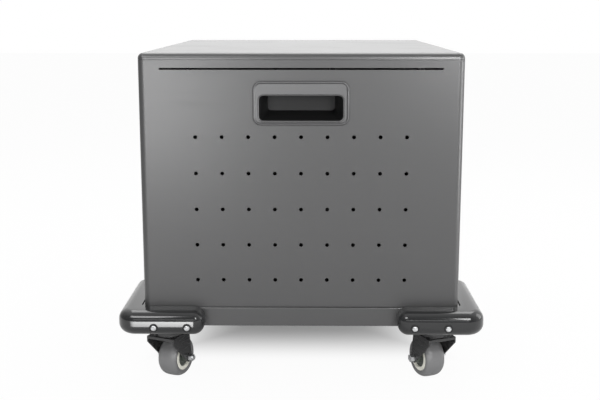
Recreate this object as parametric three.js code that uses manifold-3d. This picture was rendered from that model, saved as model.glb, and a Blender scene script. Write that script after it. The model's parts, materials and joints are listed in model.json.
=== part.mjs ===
// Laptop charging cart: a low steel chest on four swivel castors, with a lift-up lid, rounded corner
// bumpers, a recessed handle at each end and a row of device bays beside a charger bay.
// Millimetres, +Z up. The front end faces -Y and the origin is on the floor under the middle.
import * as THREE from 'three';
import { mergeVertices } from 'three/addons/utils/BufferGeometryUtils.js';
import Module from 'manifold-3d';

const wasm = await Module();
wasm.setup();

// Cabinet
const BODY_WIDTH = 530;
const BODY_DEPTH = 660;
const TOTAL_HEIGHT = 566;
const PANEL_BOTTOM = 141;
const SHEET = 2;
const EDGE_RADIUS = 8;
const END_RETURN = 34;
const LAP_WIDTH = 16;
const FIT = 0.3;
const CUT_OVER = 1;
const MERGE_REACH = 1e-4;

// Base tray, whose rim makes a narrow ledge round the foot of the panels
const TRAY_HEIGHT = 32;
const TRAY_LEDGE = 4;
const TRAY_SHEET = 2.5;
const TRAY_FLANGE = 14;

// Lid and rim
const LID_SKIRT = 10;
const LID_SEAM = 1.2;
const LID_EDGE_RADIUS = 6;
const LID_SKIN = 2.5;
const RIM_WIDTH = 12.5;
const RIM_LIP = 12;
const LINER_GAP = 4.5;
const LINER_DROP = 12;
const SEAL_WIDTH = 6;

// Vents and slot in the end panels
const VENT_COLUMNS = 9;
const VENT_ROWS = 5;
const VENT_PITCH_X = 43.2;
const VENT_PITCH_Z = 60.3;
const VENT_TOP_ROW = 429.5;
const VENT_RADIUS = 3.25;
const VENT_SIDES = 8;
const SLOT_LENGTH = 460;
const SLOT_HEIGHT = 3.2;
const SLOT_MIDDLE = 540.5;

// Handle cups
const HANDLE_WIDTH = 157;
const HANDLE_LOW = 449;
const HANDLE_HIGH = 521;
const HANDLE_CORNER = 13;
const HANDLE_PROUD = 4;
const HANDLE_WALL = 3.5;
const GRIP_WIDTH = 136;
const GRIP_LOW = 457;
const GRIP_HIGH = 497;
const CUP_DEPTH = 46;
const CUP_TAPER = 12;

// Corner bumpers
const BUMPER_PROUD = 40;
const BUMPER_LOW = 102;
const BUMPER_HIGH = 143;
const BUMPER_FRONT_ARM = 144;
const BUMPER_SIDE_ARM = 208;
const BUMPER_OUTER_CORNER = 30;
const BUMPER_END_CORNER = 18;
const BUMPER_NOSE = 17;

// Castors
const WHEEL_RADIUS = 35;
const WHEEL_WIDTH = 36;
const TYRE_ROUND = 2.3;
const WHEEL_SIDES = 20;
const RIM_RADIUS = 24;
const RIM_INSET = 1;
const RIM_DISH = 3;
const RIM_BAND = 5;
const HUB_RADIUS = 9;
const HUB_LENGTH = 47;
const CASTOR_TRAIL = 24;
const CASTOR_TURN = THREE.MathUtils.degToRad(23);
const CASTOR_INSET_X = 35;
const CASTOR_INSET_Y = 32;
const CASTOR_PLATE = 64;
const CASTOR_PLATE_SHEET = 3;
const CASTOR_PLATE_CORNER = 6;
const RACE_RADIUS = 24;
const FORK_TOP = 95;
const FORK_CROWN = 83;
const FORK_SHEET = 2.5;
const FORK_HALF = 27;
const FORK_CLEARANCE = 6;
const FORK_CROWN_SHEET = 5;
const KINGPIN_RADIUS = 5;
const KINGPIN_HEAD = 3;
const KINGPIN_HEAD_RADIUS = 8;
const AXLE_RADIUS = 3.8;
const AXLE_NUT_RADIUS = 7;
const AXLE_NUT = 7;
const AXLE_TAIL = 3;
const RUN_CLEARANCE = 0.4;

// Inside
const BAY_COUNT = 12;
const DIVIDER_TOP = 441;
const DIVIDER_CHAMFER = 45;
const PARTITION_X = 150;
const PARTITION_TOP = 481;
const STRIP_LENGTH = 600;
const STRIP_WIDTH = 38;
const STRIP_LOW = 191;
const STRIP_HIGH = 241;
const STRIP_CORNERS = [1, 6, 6, 1];

// Mains inlet with its switch, in the rear end panel
const INLET_X = 218;
const INLET_MIDDLE = 179;
const INLET_FLANGE = [34, 64];
const INLET_FLANGE_CORNER = 4;
const INLET_BODY = [26, 56];
const INLET_FLANGE_SHEET = 3;
const INLET_BODY_DEPTH = 30;
const INLET_MOUTH = [20, 15];
const INLET_MOUTH_CORNERS = [1, 1, 5, 5];
const INLET_MOUTH_DEPTH = 16;
const INLET_MOUTH_DROP = 14;
const PIN_SIZE = [2, 4];
const PIN_PITCH = 7;
const PIN_LENGTH = 11;
const EARTH_PIN_RISE = 3;
const ROCKER_RISE = 13;
const ROCKER_WIDTH = 12.4;
const ROCKER_HALF = 10;
const ROCKER_BACK = 9;
const ROCKER_REACH = 5;
const ROCKER_DISH = 1.5;
const ROCKER_TILT = THREE.MathUtils.degToRad(10);
const ROCKER_WELL = [14, 24.5];
const ROCKER_WELL_DEPTH = 14;

// Lid lock on the right side panel
const LOCK_Z = 499;
const LOCK_FLANGE_RADIUS = 13;
const LOCK_FLANGE = 3;
const LOCK_BARREL_RADIUS = 9.5;
const LOCK_PLUG_RADIUS = 5.5;
const LOCK_LENGTH = 22;
const LOCK_NUT = 5;
const CAM_ARM = 34;
const CAM_HALF = 6;
const CAM_SHEET = 3;
const CAM_STANDOFF = 4;
const KEY_SLOT = [1.6, 7, 4];
const KEEPER_SHEET = 3.5;
const KEEPER_WIDTH = 13;
const KEEPER_GAP = 2.5;

// Lid hinges on the left side panel
const HINGE_PLACES = { front: -200, rear: 200 };
const HINGE_LENGTH = 70;
const HINGE_SHEET = 2.3;
const HINGE_STANDOFF = 1;
const HINGE_LEAF_DROP = 38;
const KNUCKLE_RADIUS = 5;
const PIN_RADIUS = 2.5;
const PIN_HEAD_RADIUS = 4;
const PIN_HEAD = 2;
const KNUCKLE_MIDDLE = 26;
const KNUCKLE_GAP = 1;

// Levels and faces worked out from the sizes above
const HALF_WIDTH = BODY_WIDTH / 2;
const HALF_DEPTH = BODY_DEPTH / 2;
const TRAY_BOTTOM = PANEL_BOTTOM - TRAY_HEIGHT;
const TRAY_HALF_WIDTH = HALF_WIDTH + TRAY_LEDGE;
const TRAY_HALF_DEPTH = HALF_DEPTH + TRAY_LEDGE;
const LID_BOTTOM = TOTAL_HEIGHT - LID_SKIRT;
const LID_CEILING = TOTAL_HEIGHT - LID_SKIN;
const PANEL_TOP = LID_BOTTOM - LID_SEAM;
const PANEL_FOOT = PANEL_BOTTOM + FIT;
const INNER_HALF_WIDTH = HALF_WIDTH - SHEET;
const INNER_HALF_DEPTH = HALF_DEPTH - SHEET;
const RIM_OPEN_WIDTH = INNER_HALF_WIDTH - RIM_WIDTH;
const RIM_OPEN_DEPTH = INNER_HALF_DEPTH - RIM_WIDTH;
const SHELF_TOP = PANEL_FOOT + SHEET;
const INSIDE_FOOT = SHELF_TOP + FIT;
const BAY_PITCH = (2 * INNER_HALF_DEPTH) / BAY_COUNT;
const BUMPER_X = HALF_WIDTH + BUMPER_PROUD;
const BUMPER_Y = HALF_DEPTH + BUMPER_PROUD;
const SWIVEL_X = HALF_WIDTH - CASTOR_INSET_X;
const SWIVEL_Y = HALF_DEPTH - CASTOR_INSET_Y;
const HINGE_X = -HALF_WIDTH - KNUCKLE_RADIUS - HINGE_STANDOFF;
const HINGE_Z = LID_BOTTOM - HINGE_STANDOFF;
const LOCK_END = HALF_WIDTH - LOCK_LENGTH;
const CAM_FACE = LOCK_END - CAM_STANDOFF;

const finishes = {
  body: { color: 0x77787a, roughness: 0.45, metalness: 0.35 },
  bumper: { color: 0x56585b, roughness: 0.3, metalness: 0 },
  handle: { color: 0x5f6063, roughness: 0.45, metalness: 0 },
  inside: { color: 0x8a8b8c, roughness: 0.5, metalness: 0.3 },
  fork: { color: 0x1c1d1f, roughness: 0.4, metalness: 0.5 },
  zinc: { color: 0xc4c7ca, roughness: 0.3, metalness: 0.9 },
  tyre: { color: 0x3b3c3e, roughness: 0.7, metalness: 0 },
  rim: { color: 0xd8d2c0, roughness: 0.5, metalness: 0 },
  black: { color: 0x141415, roughness: 0.5, metalness: 0 },
  seal: { color: 0x101010, roughness: 0.9, metalness: 0 },
};

const cart = new THREE.Group();

// Adds a finished solid as a named piece.
function addPiece(name, shape, finish, parent = cart) {
  const mesh = new THREE.Mesh(geometryOf(shape), new THREE.MeshStandardMaterial(finishes[finish]));
  mesh.name = name;
  parent.add(mesh);
}

// Solid from a closed geometry, with shared corners merged and empty triangles dropped.
function solid(geometry) {
  const bare = geometry.clone();
  bare.deleteAttribute('normal');
  bare.deleteAttribute('uv');
  const merged = mergeVertices(bare, MERGE_REACH);
  const corners = merged.index.array;
  const triangles = [];
  for (let i = 0; i < corners.length; i += 3) {
    const [a, b, c] = [corners[i], corners[i + 1], corners[i + 2]];
    if (a !== b && b !== c && c !== a) triangles.push(a, b, c);
  }
  return new wasm.Manifold(new wasm.Mesh({
    numProp: 3,
    vertProperties: new Float32Array(merged.attributes.position.array),
    triVerts: new Uint32Array(triangles),
  }));
}

function geometryOf(shape) {
  const mesh = shape.getMesh();
  const geometry = new THREE.BufferGeometry();
  geometry.setAttribute('position', new THREE.BufferAttribute(new Float32Array(mesh.vertProperties), 3));
  geometry.setIndex(new THREE.BufferAttribute(new Uint32Array(mesh.triVerts), 1));
  geometry.computeVertexNormals();
  return geometry;
}

const sorted = (a, b) => [Math.min(a, b), Math.max(a, b)];

// Box between a low and a high value on each axis.
function block([x0, x1], [y0, y1], [z0, z1]) {
  const geometry = new THREE.BoxGeometry(x1 - x0, y1 - y0, z1 - z0);
  geometry.translate((x0 + x1) / 2, (y0 + y1) / 2, (z0 + z1) / 2);
  return solid(geometry);
}

// Directions that an outline's own x, its own y and its length take when it runs along an axis.
const runs = {
  x: [new THREE.Vector3(0, 1, 0), new THREE.Vector3(0, 0, 1), new THREE.Vector3(1, 0, 0)],
  y: [new THREE.Vector3(1, 0, 0), new THREE.Vector3(0, 0, 1), new THREE.Vector3(0, -1, 0)],
  z: [new THREE.Vector3(1, 0, 0), new THREE.Vector3(0, 1, 0), new THREE.Vector3(0, 0, 1)],
};

// Outline extruded along an axis from low to high, with its long edges rounded where bevel is given.
// Along x the outline is drawn in (y, z), along y in (x, z) and along z in (x, y).
function prism(shape, axis, low, high, bevel = 0, bevelSteps = 3) {
  const geometry = new THREE.ExtrudeGeometry(shape, {
    depth: high - low - 2 * bevel,
    bevelEnabled: bevel > 0,
    bevelSize: bevel,
    bevelOffset: -bevel,
    bevelThickness: bevel,
    bevelSegments: bevelSteps,
  });
  geometry.translate(0, 0, bevel);
  const [right, up, along] = runs[axis];
  geometry.applyMatrix4(new THREE.Matrix4().makeBasis(right, up, along));
  const start = axis === 'y' ? high : low;
  geometry.translate(...['x', 'y', 'z'].map((name) => (name === axis ? start : 0)));
  return solid(geometry);
}

// Round bar along an axis, whose centre is given in the outline's plane of that axis.
const bar = (axis, radius, [u, v], low, high, sides = 16) => (
  prism(polygon(radius, sides, u, v), axis, low, high)
);

// Ring about an axis through the origin, from a closed profile of [radius, place along x] points,
// with a flat of the ring turned down to the floor.
function turnedRing(profile, sides) {
  const flatToCorner = 1 / Math.cos(Math.PI / sides);
  const points = profile.map(([radius, along]) => new THREE.Vector2(radius * flatToCorner, along));
  points.push(points[0].clone());
  const geometry = new THREE.LatheGeometry(points, sides, Math.PI / sides);
  geometry.rotateZ(-Math.PI / 2);
  return solid(geometry);
}

const outline = (points) => new THREE.Shape(points.map(([u, v]) => new THREE.Vector2(u, v)));

function arcPoints(u, v, radius, from, to, steps) {
  return Array.from({ length: steps + 1 }, (_, k) => {
    const angle = THREE.MathUtils.degToRad(from + ((to - from) * k) / steps);
    return [u + radius * Math.cos(angle), v + radius * Math.sin(angle)];
  });
}

function polygon(radius, sides, u = 0, v = 0) {
  return outline(arcPoints(u, v, radius, 180 / sides, 360 + 180 / sides, sides).slice(0, sides));
}

// Rectangle with its corners rounded, where radii run from the low-low corner round anticlockwise.
function roundedRectangle([u0, u1], [v0, v1], radii, steps = 4) {
  const [a, b, c, d] = Array.isArray(radii) ? radii : [radii, radii, radii, radii];
  return outline([
    ...arcPoints(u0 + a, v0 + a, a, 180, 270, steps),
    ...arcPoints(u1 - b, v0 + b, b, 270, 360, steps),
    ...arcPoints(u1 - c, v1 - c, c, 0, 90, steps),
    ...arcPoints(u0 + d, v1 - d, d, 90, 180, steps),
  ]);
}

const centred = (halfU, halfV, radius, steps) => (
  roundedRectangle([-halfU, halfU], [-halfV, halfV], radius, steps)
);

// Pan that carries the cabinet: a floor, four walls and a rim turned inwards at the top.
function baseTray() {
  const corner = EDGE_RADIUS + TRAY_LEDGE;
  const outside = prism(centred(TRAY_HALF_WIDTH, TRAY_HALF_DEPTH, corner), 'z', TRAY_BOTTOM, PANEL_BOTTOM);
  const wallWidth = TRAY_HALF_WIDTH - TRAY_SHEET;
  const wallDepth = TRAY_HALF_DEPTH - TRAY_SHEET;
  const hollow = prism(
    centred(wallWidth, wallDepth, corner - TRAY_SHEET),
    'z', TRAY_BOTTOM + TRAY_SHEET, PANEL_BOTTOM - TRAY_SHEET);
  const mouth = block(
    [TRAY_FLANGE - TRAY_HALF_WIDTH, TRAY_HALF_WIDTH - TRAY_FLANGE],
    [TRAY_FLANGE - TRAY_HALF_DEPTH, TRAY_HALF_DEPTH - TRAY_FLANGE],
    [PANEL_BOTTOM - 2 * TRAY_SHEET, PANEL_BOTTOM + CUT_OVER]);
  return outside.subtract(hollow).subtract(mouth);
}

// Moulded corner that wraps round the tray, with a rounded nose and rounded arm ends.
function bumper(sideX, sideY) {
  const x = sorted(sideX * BUMPER_X, sideX * (BUMPER_X - BUMPER_FRONT_ARM));
  const y = sorted(sideY * BUMPER_Y, sideY * (BUMPER_Y - BUMPER_SIDE_ARM));
  const corners = [[-1, -1], [1, -1], [1, 1], [-1, 1]];
  const radii = corners.map(([cornerX, cornerY]) => (
    cornerX === sideX && cornerY === sideY ? BUMPER_OUTER_CORNER : BUMPER_END_CORNER));
  const whole = prism(roundedRectangle(x, y, radii), 'z', BUMPER_LOW, BUMPER_HIGH, BUMPER_NOSE);
  const seat = prism(
    centred(TRAY_HALF_WIDTH + FIT, TRAY_HALF_DEPTH + FIT, EDGE_RADIUS + TRAY_LEDGE + FIT),
    'z', BUMPER_LOW - CUT_OVER, BUMPER_HIGH + CUT_OVER);
  return whole.subtract(seat);
}

function ventHoles() {
  const holes = [];
  for (let row = 0; row < VENT_ROWS; row += 1) {
    for (let column = 0; column < VENT_COLUMNS; column += 1) {
      const x = (column - (VENT_COLUMNS - 1) / 2) * VENT_PITCH_X;
      holes.push(polygon(VENT_RADIUS, VENT_SIDES, x, VENT_TOP_ROW - row * VENT_PITCH_Z));
    }
  }
  return holes;
}

// The cup's outer wall below its rim, as [x, z] ranges grown by a margin.
const cupWall = (margin) => [
  [-GRIP_WIDTH / 2 - HANDLE_WALL - margin, GRIP_WIDTH / 2 + HANDLE_WALL + margin],
  [GRIP_LOW - HANDLE_WALL - margin, HANDLE_HIGH - HANDLE_WALL + margin],
];

// End panel with its two bent corners, ventilation holes, long slot and handle cut-out.
function endPanel(sideY, extraHoles) {
  const flat = HALF_WIDTH - EDGE_RADIUS;
  const face = outline([[-flat, PANEL_FOOT], [flat, PANEL_FOOT], [flat, PANEL_TOP], [-flat, PANEL_TOP]]);
  const slotHalf = SLOT_HEIGHT / 2;
  const slot = roundedRectangle(
    [-SLOT_LENGTH / 2, SLOT_LENGTH / 2],
    [SLOT_MIDDLE - slotHalf, SLOT_MIDDLE + slotHalf],
    slotHalf - FIT, 2);
  const handleHole = roundedRectangle(...cupWall(FIT), HANDLE_WALL, 2);
  face.holes.push(...ventHoles(), slot, handleHole, ...extraHoles);
  let panel = prism(face, 'y', ...sorted(sideY * HALF_DEPTH, sideY * INNER_HALF_DEPTH));
  for (const sideX of [-1, 1]) {
    const overlap = flat - SHEET;
    const centre = [flat, HALF_DEPTH - EDGE_RADIUS];
    const bend = [
      [overlap, HALF_DEPTH],
      ...arcPoints(...centre, EDGE_RADIUS, 90, 0, 4),
      [HALF_WIDTH, HALF_DEPTH - END_RETURN],
      [INNER_HALF_WIDTH, HALF_DEPTH - END_RETURN],
      ...arcPoints(...centre, EDGE_RADIUS - SHEET, 0, 90, 4),
      [overlap, INNER_HALF_DEPTH],
    ];
    const placed = bend.map(([x, y]) => [sideX * x, sideY * y]);
    panel = panel.add(prism(outline(placed), 'z', PANEL_FOOT, PANEL_TOP));
  }
  return panel;
}

// Flat side panel with a strip at each end that laps behind the end panel's return.
function sidePanel(sideX) {
  const end = HALF_DEPTH - END_RETURN - FIT;
  const lapHeights = [PANEL_FOOT + SHEET + 2 * FIT, PANEL_TOP - RIM_LIP - FIT];
  const lapFace = INNER_HALF_WIDTH - FIT;
  const skin = sorted(sideX * HALF_WIDTH, sideX * INNER_HALF_WIDTH);
  let panel = block(skin, [-end, end], [PANEL_FOOT, PANEL_TOP]);
  for (const sideY of [-1, 1]) {
    const root = sorted(sideY * (end - LAP_WIDTH), sideY * end);
    const reach = sorted(sideY * (end - LAP_WIDTH), sideY * (end + LAP_WIDTH));
    const lap = sorted(sideX * lapFace, sideX * (lapFace - SHEET));
    const jog = sorted(sideX * (INNER_HALF_WIDTH + SHEET / 2), sideX * (lapFace - SHEET));
    panel = panel.add(block(jog, root, lapHeights)).add(block(lap, reach, lapHeights));
  }
  const lockHole = bar(
    'x', LOCK_BARREL_RADIUS + FIT, [0, LOCK_Z], INNER_HALF_WIDTH - CUT_OVER, HALF_WIDTH + CUT_OVER);
  return sideX > 0 ? panel.subtract(lockHole) : panel;
}

// Frame inside the top of the panels, with a lip turned down round the opening.
function rimFrame() {
  const corner = EDGE_RADIUS - SHEET;
  const plate = prism(
    centred(INNER_HALF_WIDTH - FIT, INNER_HALF_DEPTH - FIT, corner), 'z', PANEL_TOP - SHEET, PANEL_TOP);
  const lip = block(
    [-RIM_OPEN_WIDTH - SHEET, RIM_OPEN_WIDTH + SHEET],
    [-RIM_OPEN_DEPTH - SHEET, RIM_OPEN_DEPTH + SHEET],
    [PANEL_TOP - RIM_LIP, PANEL_TOP]);
  const opening = block(
    [-RIM_OPEN_WIDTH, RIM_OPEN_WIDTH],
    [-RIM_OPEN_DEPTH, RIM_OPEN_DEPTH],
    [PANEL_TOP - RIM_LIP - CUT_OVER, PANEL_TOP + CUT_OVER]);
  return plate.add(lip).subtract(opening);
}

// Soft strip on the rim that the closed lid rests on.
function lidSeal() {
  const halfX = RIM_OPEN_WIDTH + RIM_WIDTH - SHEET;
  const halfY = RIM_OPEN_DEPTH + RIM_WIDTH - SHEET;
  const heights = [PANEL_TOP + FIT, LID_CEILING - FIT];
  const outside = prism(centred(halfX, halfY, EDGE_RADIUS), 'z', ...heights);
  const inside = prism(
    centred(halfX - SEAL_WIDTH, halfY - SEAL_WIDTH, SHEET),
    'z', heights[0] - CUT_OVER, heights[1] + CUT_OVER);
  return outside.subtract(inside);
}

// Recessed handle: a raised rim and a cup whose hollow runs up behind the wide top band.
function handleCup(sideY) {
  const out = (distance) => sideY * (HALF_DEPTH + distance);
  const halfWidth = HANDLE_WIDTH / 2;
  const rimShape = roundedRectangle([-halfWidth, halfWidth], [HANDLE_LOW, HANDLE_HIGH], HANDLE_CORNER);
  const bevel = HANDLE_PROUD / 2;
  const rim = prism(rimShape, 'y', ...sorted(out(FIT - bevel), out(HANDLE_PROUD)), bevel, 2);
  const mouth = 2 * HANDLE_PROUD;
  const outside = block([-halfWidth, halfWidth], sorted(out(FIT), out(mouth)), [HANDLE_LOW, HANDLE_HIGH]);
  const wallShape = roundedRectangle(...cupWall(0), HANDLE_WALL, 2);
  const wall = prism(wallShape, 'y', ...sorted(out(-CUP_DEPTH), out(bevel)));
  const back = HANDLE_WALL - CUP_DEPTH;
  const halfGrip = GRIP_WIDTH / 2;
  const plan = outline([
    [-halfGrip, out(mouth)], [halfGrip, out(mouth)], [halfGrip, out(0)],
    [halfGrip - CUP_TAPER, out(back)], [CUP_TAPER - halfGrip, out(back)], [-halfGrip, out(0)]]);
  const roof = HANDLE_HIGH - 2 * HANDLE_WALL - FIT;
  const section = outline([
    [out(mouth), GRIP_LOW], [out(mouth), GRIP_HIGH], [out(-HANDLE_PROUD), GRIP_HIGH],
    [out(-2 * HANDLE_PROUD), roof], [out(back + CUP_TAPER), roof], [out(back), roof - CUP_TAPER],
    [out(back), GRIP_LOW + CUP_TAPER], [out(-HANDLE_PROUD), GRIP_LOW]]);
  const sweep = prism(section, 'x', -halfGrip - CUT_OVER, halfGrip + CUT_OVER);
  const hollow = prism(plan, 'z', GRIP_LOW - CUT_OVER, HANDLE_HIGH).intersect(sweep);
  return rim.intersect(outside).add(wall).subtract(hollow);
}

// Lid skin: a shallow pan with a rounded top edge and a short skirt.
function lidPanel() {
  const bottom = LID_BOTTOM - 2 * LID_EDGE_RADIUS;
  const top = centred(HALF_WIDTH, HALF_DEPTH, EDGE_RADIUS);
  const whole = prism(top, 'z', bottom, TOTAL_HEIGHT, LID_EDGE_RADIUS);
  const below = block([-BODY_WIDTH, BODY_WIDTH], [-BODY_DEPTH, BODY_DEPTH], [bottom - CUT_OVER, LID_BOTTOM]);
  const hollow = prism(
    centred(HALF_WIDTH - LID_SKIN, HALF_DEPTH - LID_SKIN, EDGE_RADIUS - LID_SKIN),
    'z', LID_BOTTOM - CUT_OVER, LID_CEILING);
  return whole.subtract(below).subtract(hollow);
}

// Inner pan that stiffens the lid and drops into the rim's opening.
function lidLiner() {
  const halfX = RIM_OPEN_WIDTH - LINER_GAP;
  const halfY = RIM_OPEN_DEPTH - LINER_GAP;
  const floor = LID_BOTTOM - LINER_DROP;
  const outside = prism(centred(halfX, halfY, EDGE_RADIUS), 'z', floor, LID_CEILING - FIT);
  const hollow = prism(
    centred(halfX - SHEET, halfY - SHEET, EDGE_RADIUS - SHEET), 'z', floor + SHEET, LID_CEILING);
  return outside.subtract(hollow);
}

// Hook under the lid that the lock's cam turns over.
function lidKeeper() {
  const x = [CAM_FACE - (KEEPER_WIDTH + CAM_SHEET) / 2, CAM_FACE + (KEEPER_WIDTH - CAM_SHEET) / 2];
  const strap = CAM_ARM + KEEPER_GAP;
  const top = LID_BOTTOM - LINER_DROP - FIT;
  const hookTop = LOCK_Z - CAM_HALF - KEEPER_GAP;
  const hook = block(
    x, [strap - 2 * KEEPER_WIDTH, strap + KEEPER_SHEET], [hookTop - KEEPER_SHEET, hookTop]);
  const upright = block(x, [strap, strap + KEEPER_SHEET], [hookTop - KEEPER_SHEET, top]);
  const foot = block(x, [strap, strap + 2 * KEEPER_WIDTH], [top - KEEPER_SHEET, top]);
  return hook.add(upright).add(foot);
}

// Barrel of the cam lock, clamped through the right side panel by its nut.
function lockBarrel() {
  const centre = [0, LOCK_Z];
  const seat = HALF_WIDTH + FIT;
  const flange = bar('x', LOCK_FLANGE_RADIUS, centre, seat, seat + LOCK_FLANGE, 24);
  const tube = bar('x', LOCK_BARREL_RADIUS, centre, LOCK_END, HALF_WIDTH + LOCK_FLANGE);
  const nutFace = INNER_HALF_WIDTH - FIT;
  const nut = bar('x', LOCK_FLANGE_RADIUS, centre, nutFace - LOCK_NUT, nutFace, 6);
  const bore = bar(
    'x', LOCK_PLUG_RADIUS + RUN_CLEARANCE, centre, LOCK_END - CUT_OVER, HALF_WIDTH + 2 * LOCK_FLANGE);
  return flange.add(tube).add(nut).subtract(bore);
}

// Turning plug with its key slot, and the cam at its inner end, pointing up while the lid is unlocked.
function lockCam() {
  const outer = HALF_WIDTH + FIT + LOCK_FLANGE;
  const plug = bar('x', LOCK_PLUG_RADIUS, [0, LOCK_Z], CAM_FACE - CAM_SHEET, outer);
  const arm = prism(outline([
    ...arcPoints(0, LOCK_Z, CAM_HALF, 180, 360, 6),
    [CAM_HALF, LOCK_Z + CAM_ARM - CAM_HALF],
    [CAM_HALF / 2, LOCK_Z + CAM_ARM],
    [-CAM_HALF / 2, LOCK_Z + CAM_ARM],
    [-CAM_HALF, LOCK_Z + CAM_ARM - CAM_HALF],
  ]), 'x', CAM_FACE - CAM_SHEET, CAM_FACE);
  const [slotWidth, slotHeight, slotDepth] = KEY_SLOT;
  const slot = block(
    [outer - slotDepth, outer + CUT_OVER],
    [-slotWidth / 2, slotWidth / 2],
    [LOCK_Z - slotHeight / 2, LOCK_Z + slotHeight / 2]);
  return plug.add(arm).subtract(slot);
}

// Hinge knuckle along the lid's axis, bored for the pin.
function knuckle(low, high) {
  const centre = [HINGE_X, HINGE_Z];
  const bore = bar('y', PIN_RADIUS + RUN_CLEARANCE, centre, low - CUT_OVER, high + CUT_OVER, 12);
  return { body: bar('y', KNUCKLE_RADIUS, centre, low, high), bore };
}

const leafX = [-HALF_WIDTH - FIT - HINGE_SHEET, -HALF_WIDTH - FIT];

// Leaf on the side panel, with a knuckle at each end.
function cabinetLeaf(place) {
  const ends = [place - HINGE_LENGTH / 2, place + HINGE_LENGTH / 2];
  const plateTop = HINGE_Z - KNUCKLE_RADIUS - KNUCKLE_GAP;
  let leaf = block(leafX, ends, [HINGE_Z - HINGE_LEAF_DROP, plateTop]);
  const inner = KNUCKLE_MIDDLE / 2 + KNUCKLE_GAP;
  const stretches = [[ends[0], place - inner], [place + inner, ends[1]]];
  const knuckles = stretches.map(([low, high]) => knuckle(low, high));
  stretches.forEach((stretch, k) => {
    leaf = leaf.add(block(leafX, stretch, [plateTop - CUT_OVER, HINGE_Z])).add(knuckles[k].body);
  });
  return knuckles.reduce((shape, { bore }) => shape.subtract(bore), leaf);
}

// Leaf on the lid's skirt, with the middle knuckle.
function lidLeaf(place) {
  const top = TOTAL_HEIGHT - LID_EDGE_RADIUS;
  const inner = [place - KNUCKLE_MIDDLE / 2, place + KNUCKLE_MIDDLE / 2];
  const middle = knuckle(...inner);
  return block(leafX, inner, [HINGE_Z, top]).add(middle.body).subtract(middle.bore);
}

function hingePin(place) {
  const ends = [place - HINGE_LENGTH / 2 - KNUCKLE_GAP, place + HINGE_LENGTH / 2 + KNUCKLE_GAP];
  const centre = [HINGE_X, HINGE_Z];
  const head = bar('y', PIN_HEAD_RADIUS, centre, ends[1], ends[1] + PIN_HEAD, 12);
  const tail = bar('y', PIN_HEAD_RADIUS, centre, ends[0] - PIN_HEAD, ends[0], 12);
  return bar('y', PIN_RADIUS, centre, ends[0] - CUT_OVER, ends[1] + CUT_OVER, 12).add(head).add(tail);
}

function deviceShelf() {
  const inset = SHEET + 2 * FIT;
  return prism(
    centred(HALF_WIDTH - inset, HALF_DEPTH - inset, EDGE_RADIUS), 'z', PANEL_FOOT, SHELF_TOP);
}

// Upright plate between two bays, with its top corners cut off.
function divider(index) {
  const y = -INNER_HALF_DEPTH + index * BAY_PITCH;
  const left = -INNER_HALF_WIDTH + SHEET + 2 * FIT;
  const right = PARTITION_X - FIT;
  const shoulder = DIVIDER_TOP - DIVIDER_CHAMFER;
  const shape = outline([
    [left, INSIDE_FOOT], [right, INSIDE_FOOT], [right, shoulder], [right - DIVIDER_CHAMFER, DIVIDER_TOP],
    [left + DIVIDER_CHAMFER, DIVIDER_TOP], [left, shoulder]]);
  return prism(shape, 'y', y - SHEET / 2, y + SHEET / 2);
}

// Wall of the charger bay, low enough for each device's lead to pass over it.
function chargerPartition() {
  const end = INNER_HALF_DEPTH - 2 * FIT;
  return block([PARTITION_X, PARTITION_X + SHEET], [-end, end], [INSIDE_FOOT, PARTITION_TOP]);
}

// Housing of the outlet strip, fixed to the partition inside the charger bay.
function powerStrip() {
  const x0 = PARTITION_X + SHEET + FIT;
  return prism(
    roundedRectangle([x0, x0 + STRIP_WIDTH], [STRIP_LOW, STRIP_HIGH], STRIP_CORNERS, 2),
    'y', -STRIP_LENGTH / 2, STRIP_LENGTH / 2);
}

const around = (middle, size) => [middle - size / 2, middle + size / 2];

// Panel-mounted mains inlet with its three pins, and a well for the switch above it.
function mainsInlet() {
  const face = HALF_DEPTH + FIT + INLET_FLANGE_SHEET;
  const mouthZ = INLET_MIDDLE - INLET_MOUTH_DROP;
  const flange = prism(
    roundedRectangle(
      around(INLET_X, INLET_FLANGE[0]), around(INLET_MIDDLE, INLET_FLANGE[1]), INLET_FLANGE_CORNER, 3),
    'y', HALF_DEPTH + FIT, face);
  const body = block(
    around(INLET_X, INLET_BODY[0]), [HALF_DEPTH - INLET_BODY_DEPTH, HALF_DEPTH + CUT_OVER],
    around(INLET_MIDDLE, INLET_BODY[1]));
  const mouthFloor = face - INLET_MOUTH_DEPTH;
  const mouth = prism(
    roundedRectangle(around(INLET_X, INLET_MOUTH[0]), around(mouthZ, INLET_MOUTH[1]), INLET_MOUTH_CORNERS, 1),
    'y', mouthFloor, face + CUT_OVER);
  const well = block(
    around(INLET_X, ROCKER_WELL[0]), [face - ROCKER_WELL_DEPTH, face + CUT_OVER],
    around(INLET_MIDDLE + ROCKER_RISE, ROCKER_WELL[1]));
  let inlet = flange.add(body).subtract(mouth).subtract(well);
  for (const step of [-1, 0, 1]) {
    const pin = block(
      around(INLET_X + step * PIN_PITCH, PIN_SIZE[0]), [mouthFloor - CUT_OVER, mouthFloor + PIN_LENGTH],
      around(step === 0 ? mouthZ + EARTH_PIN_RISE : mouthZ, PIN_SIZE[1]));
    inlet = inlet.add(pin);
  }
  return inlet;
}

// Hole in the rear end panel for the inlet's body.
const inletHole = () => roundedRectangle(
  around(INLET_X, INLET_BODY[0] + 2 * FIT), around(INLET_MIDDLE, INLET_BODY[1] + 2 * FIT), 0.5, 1);

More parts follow.
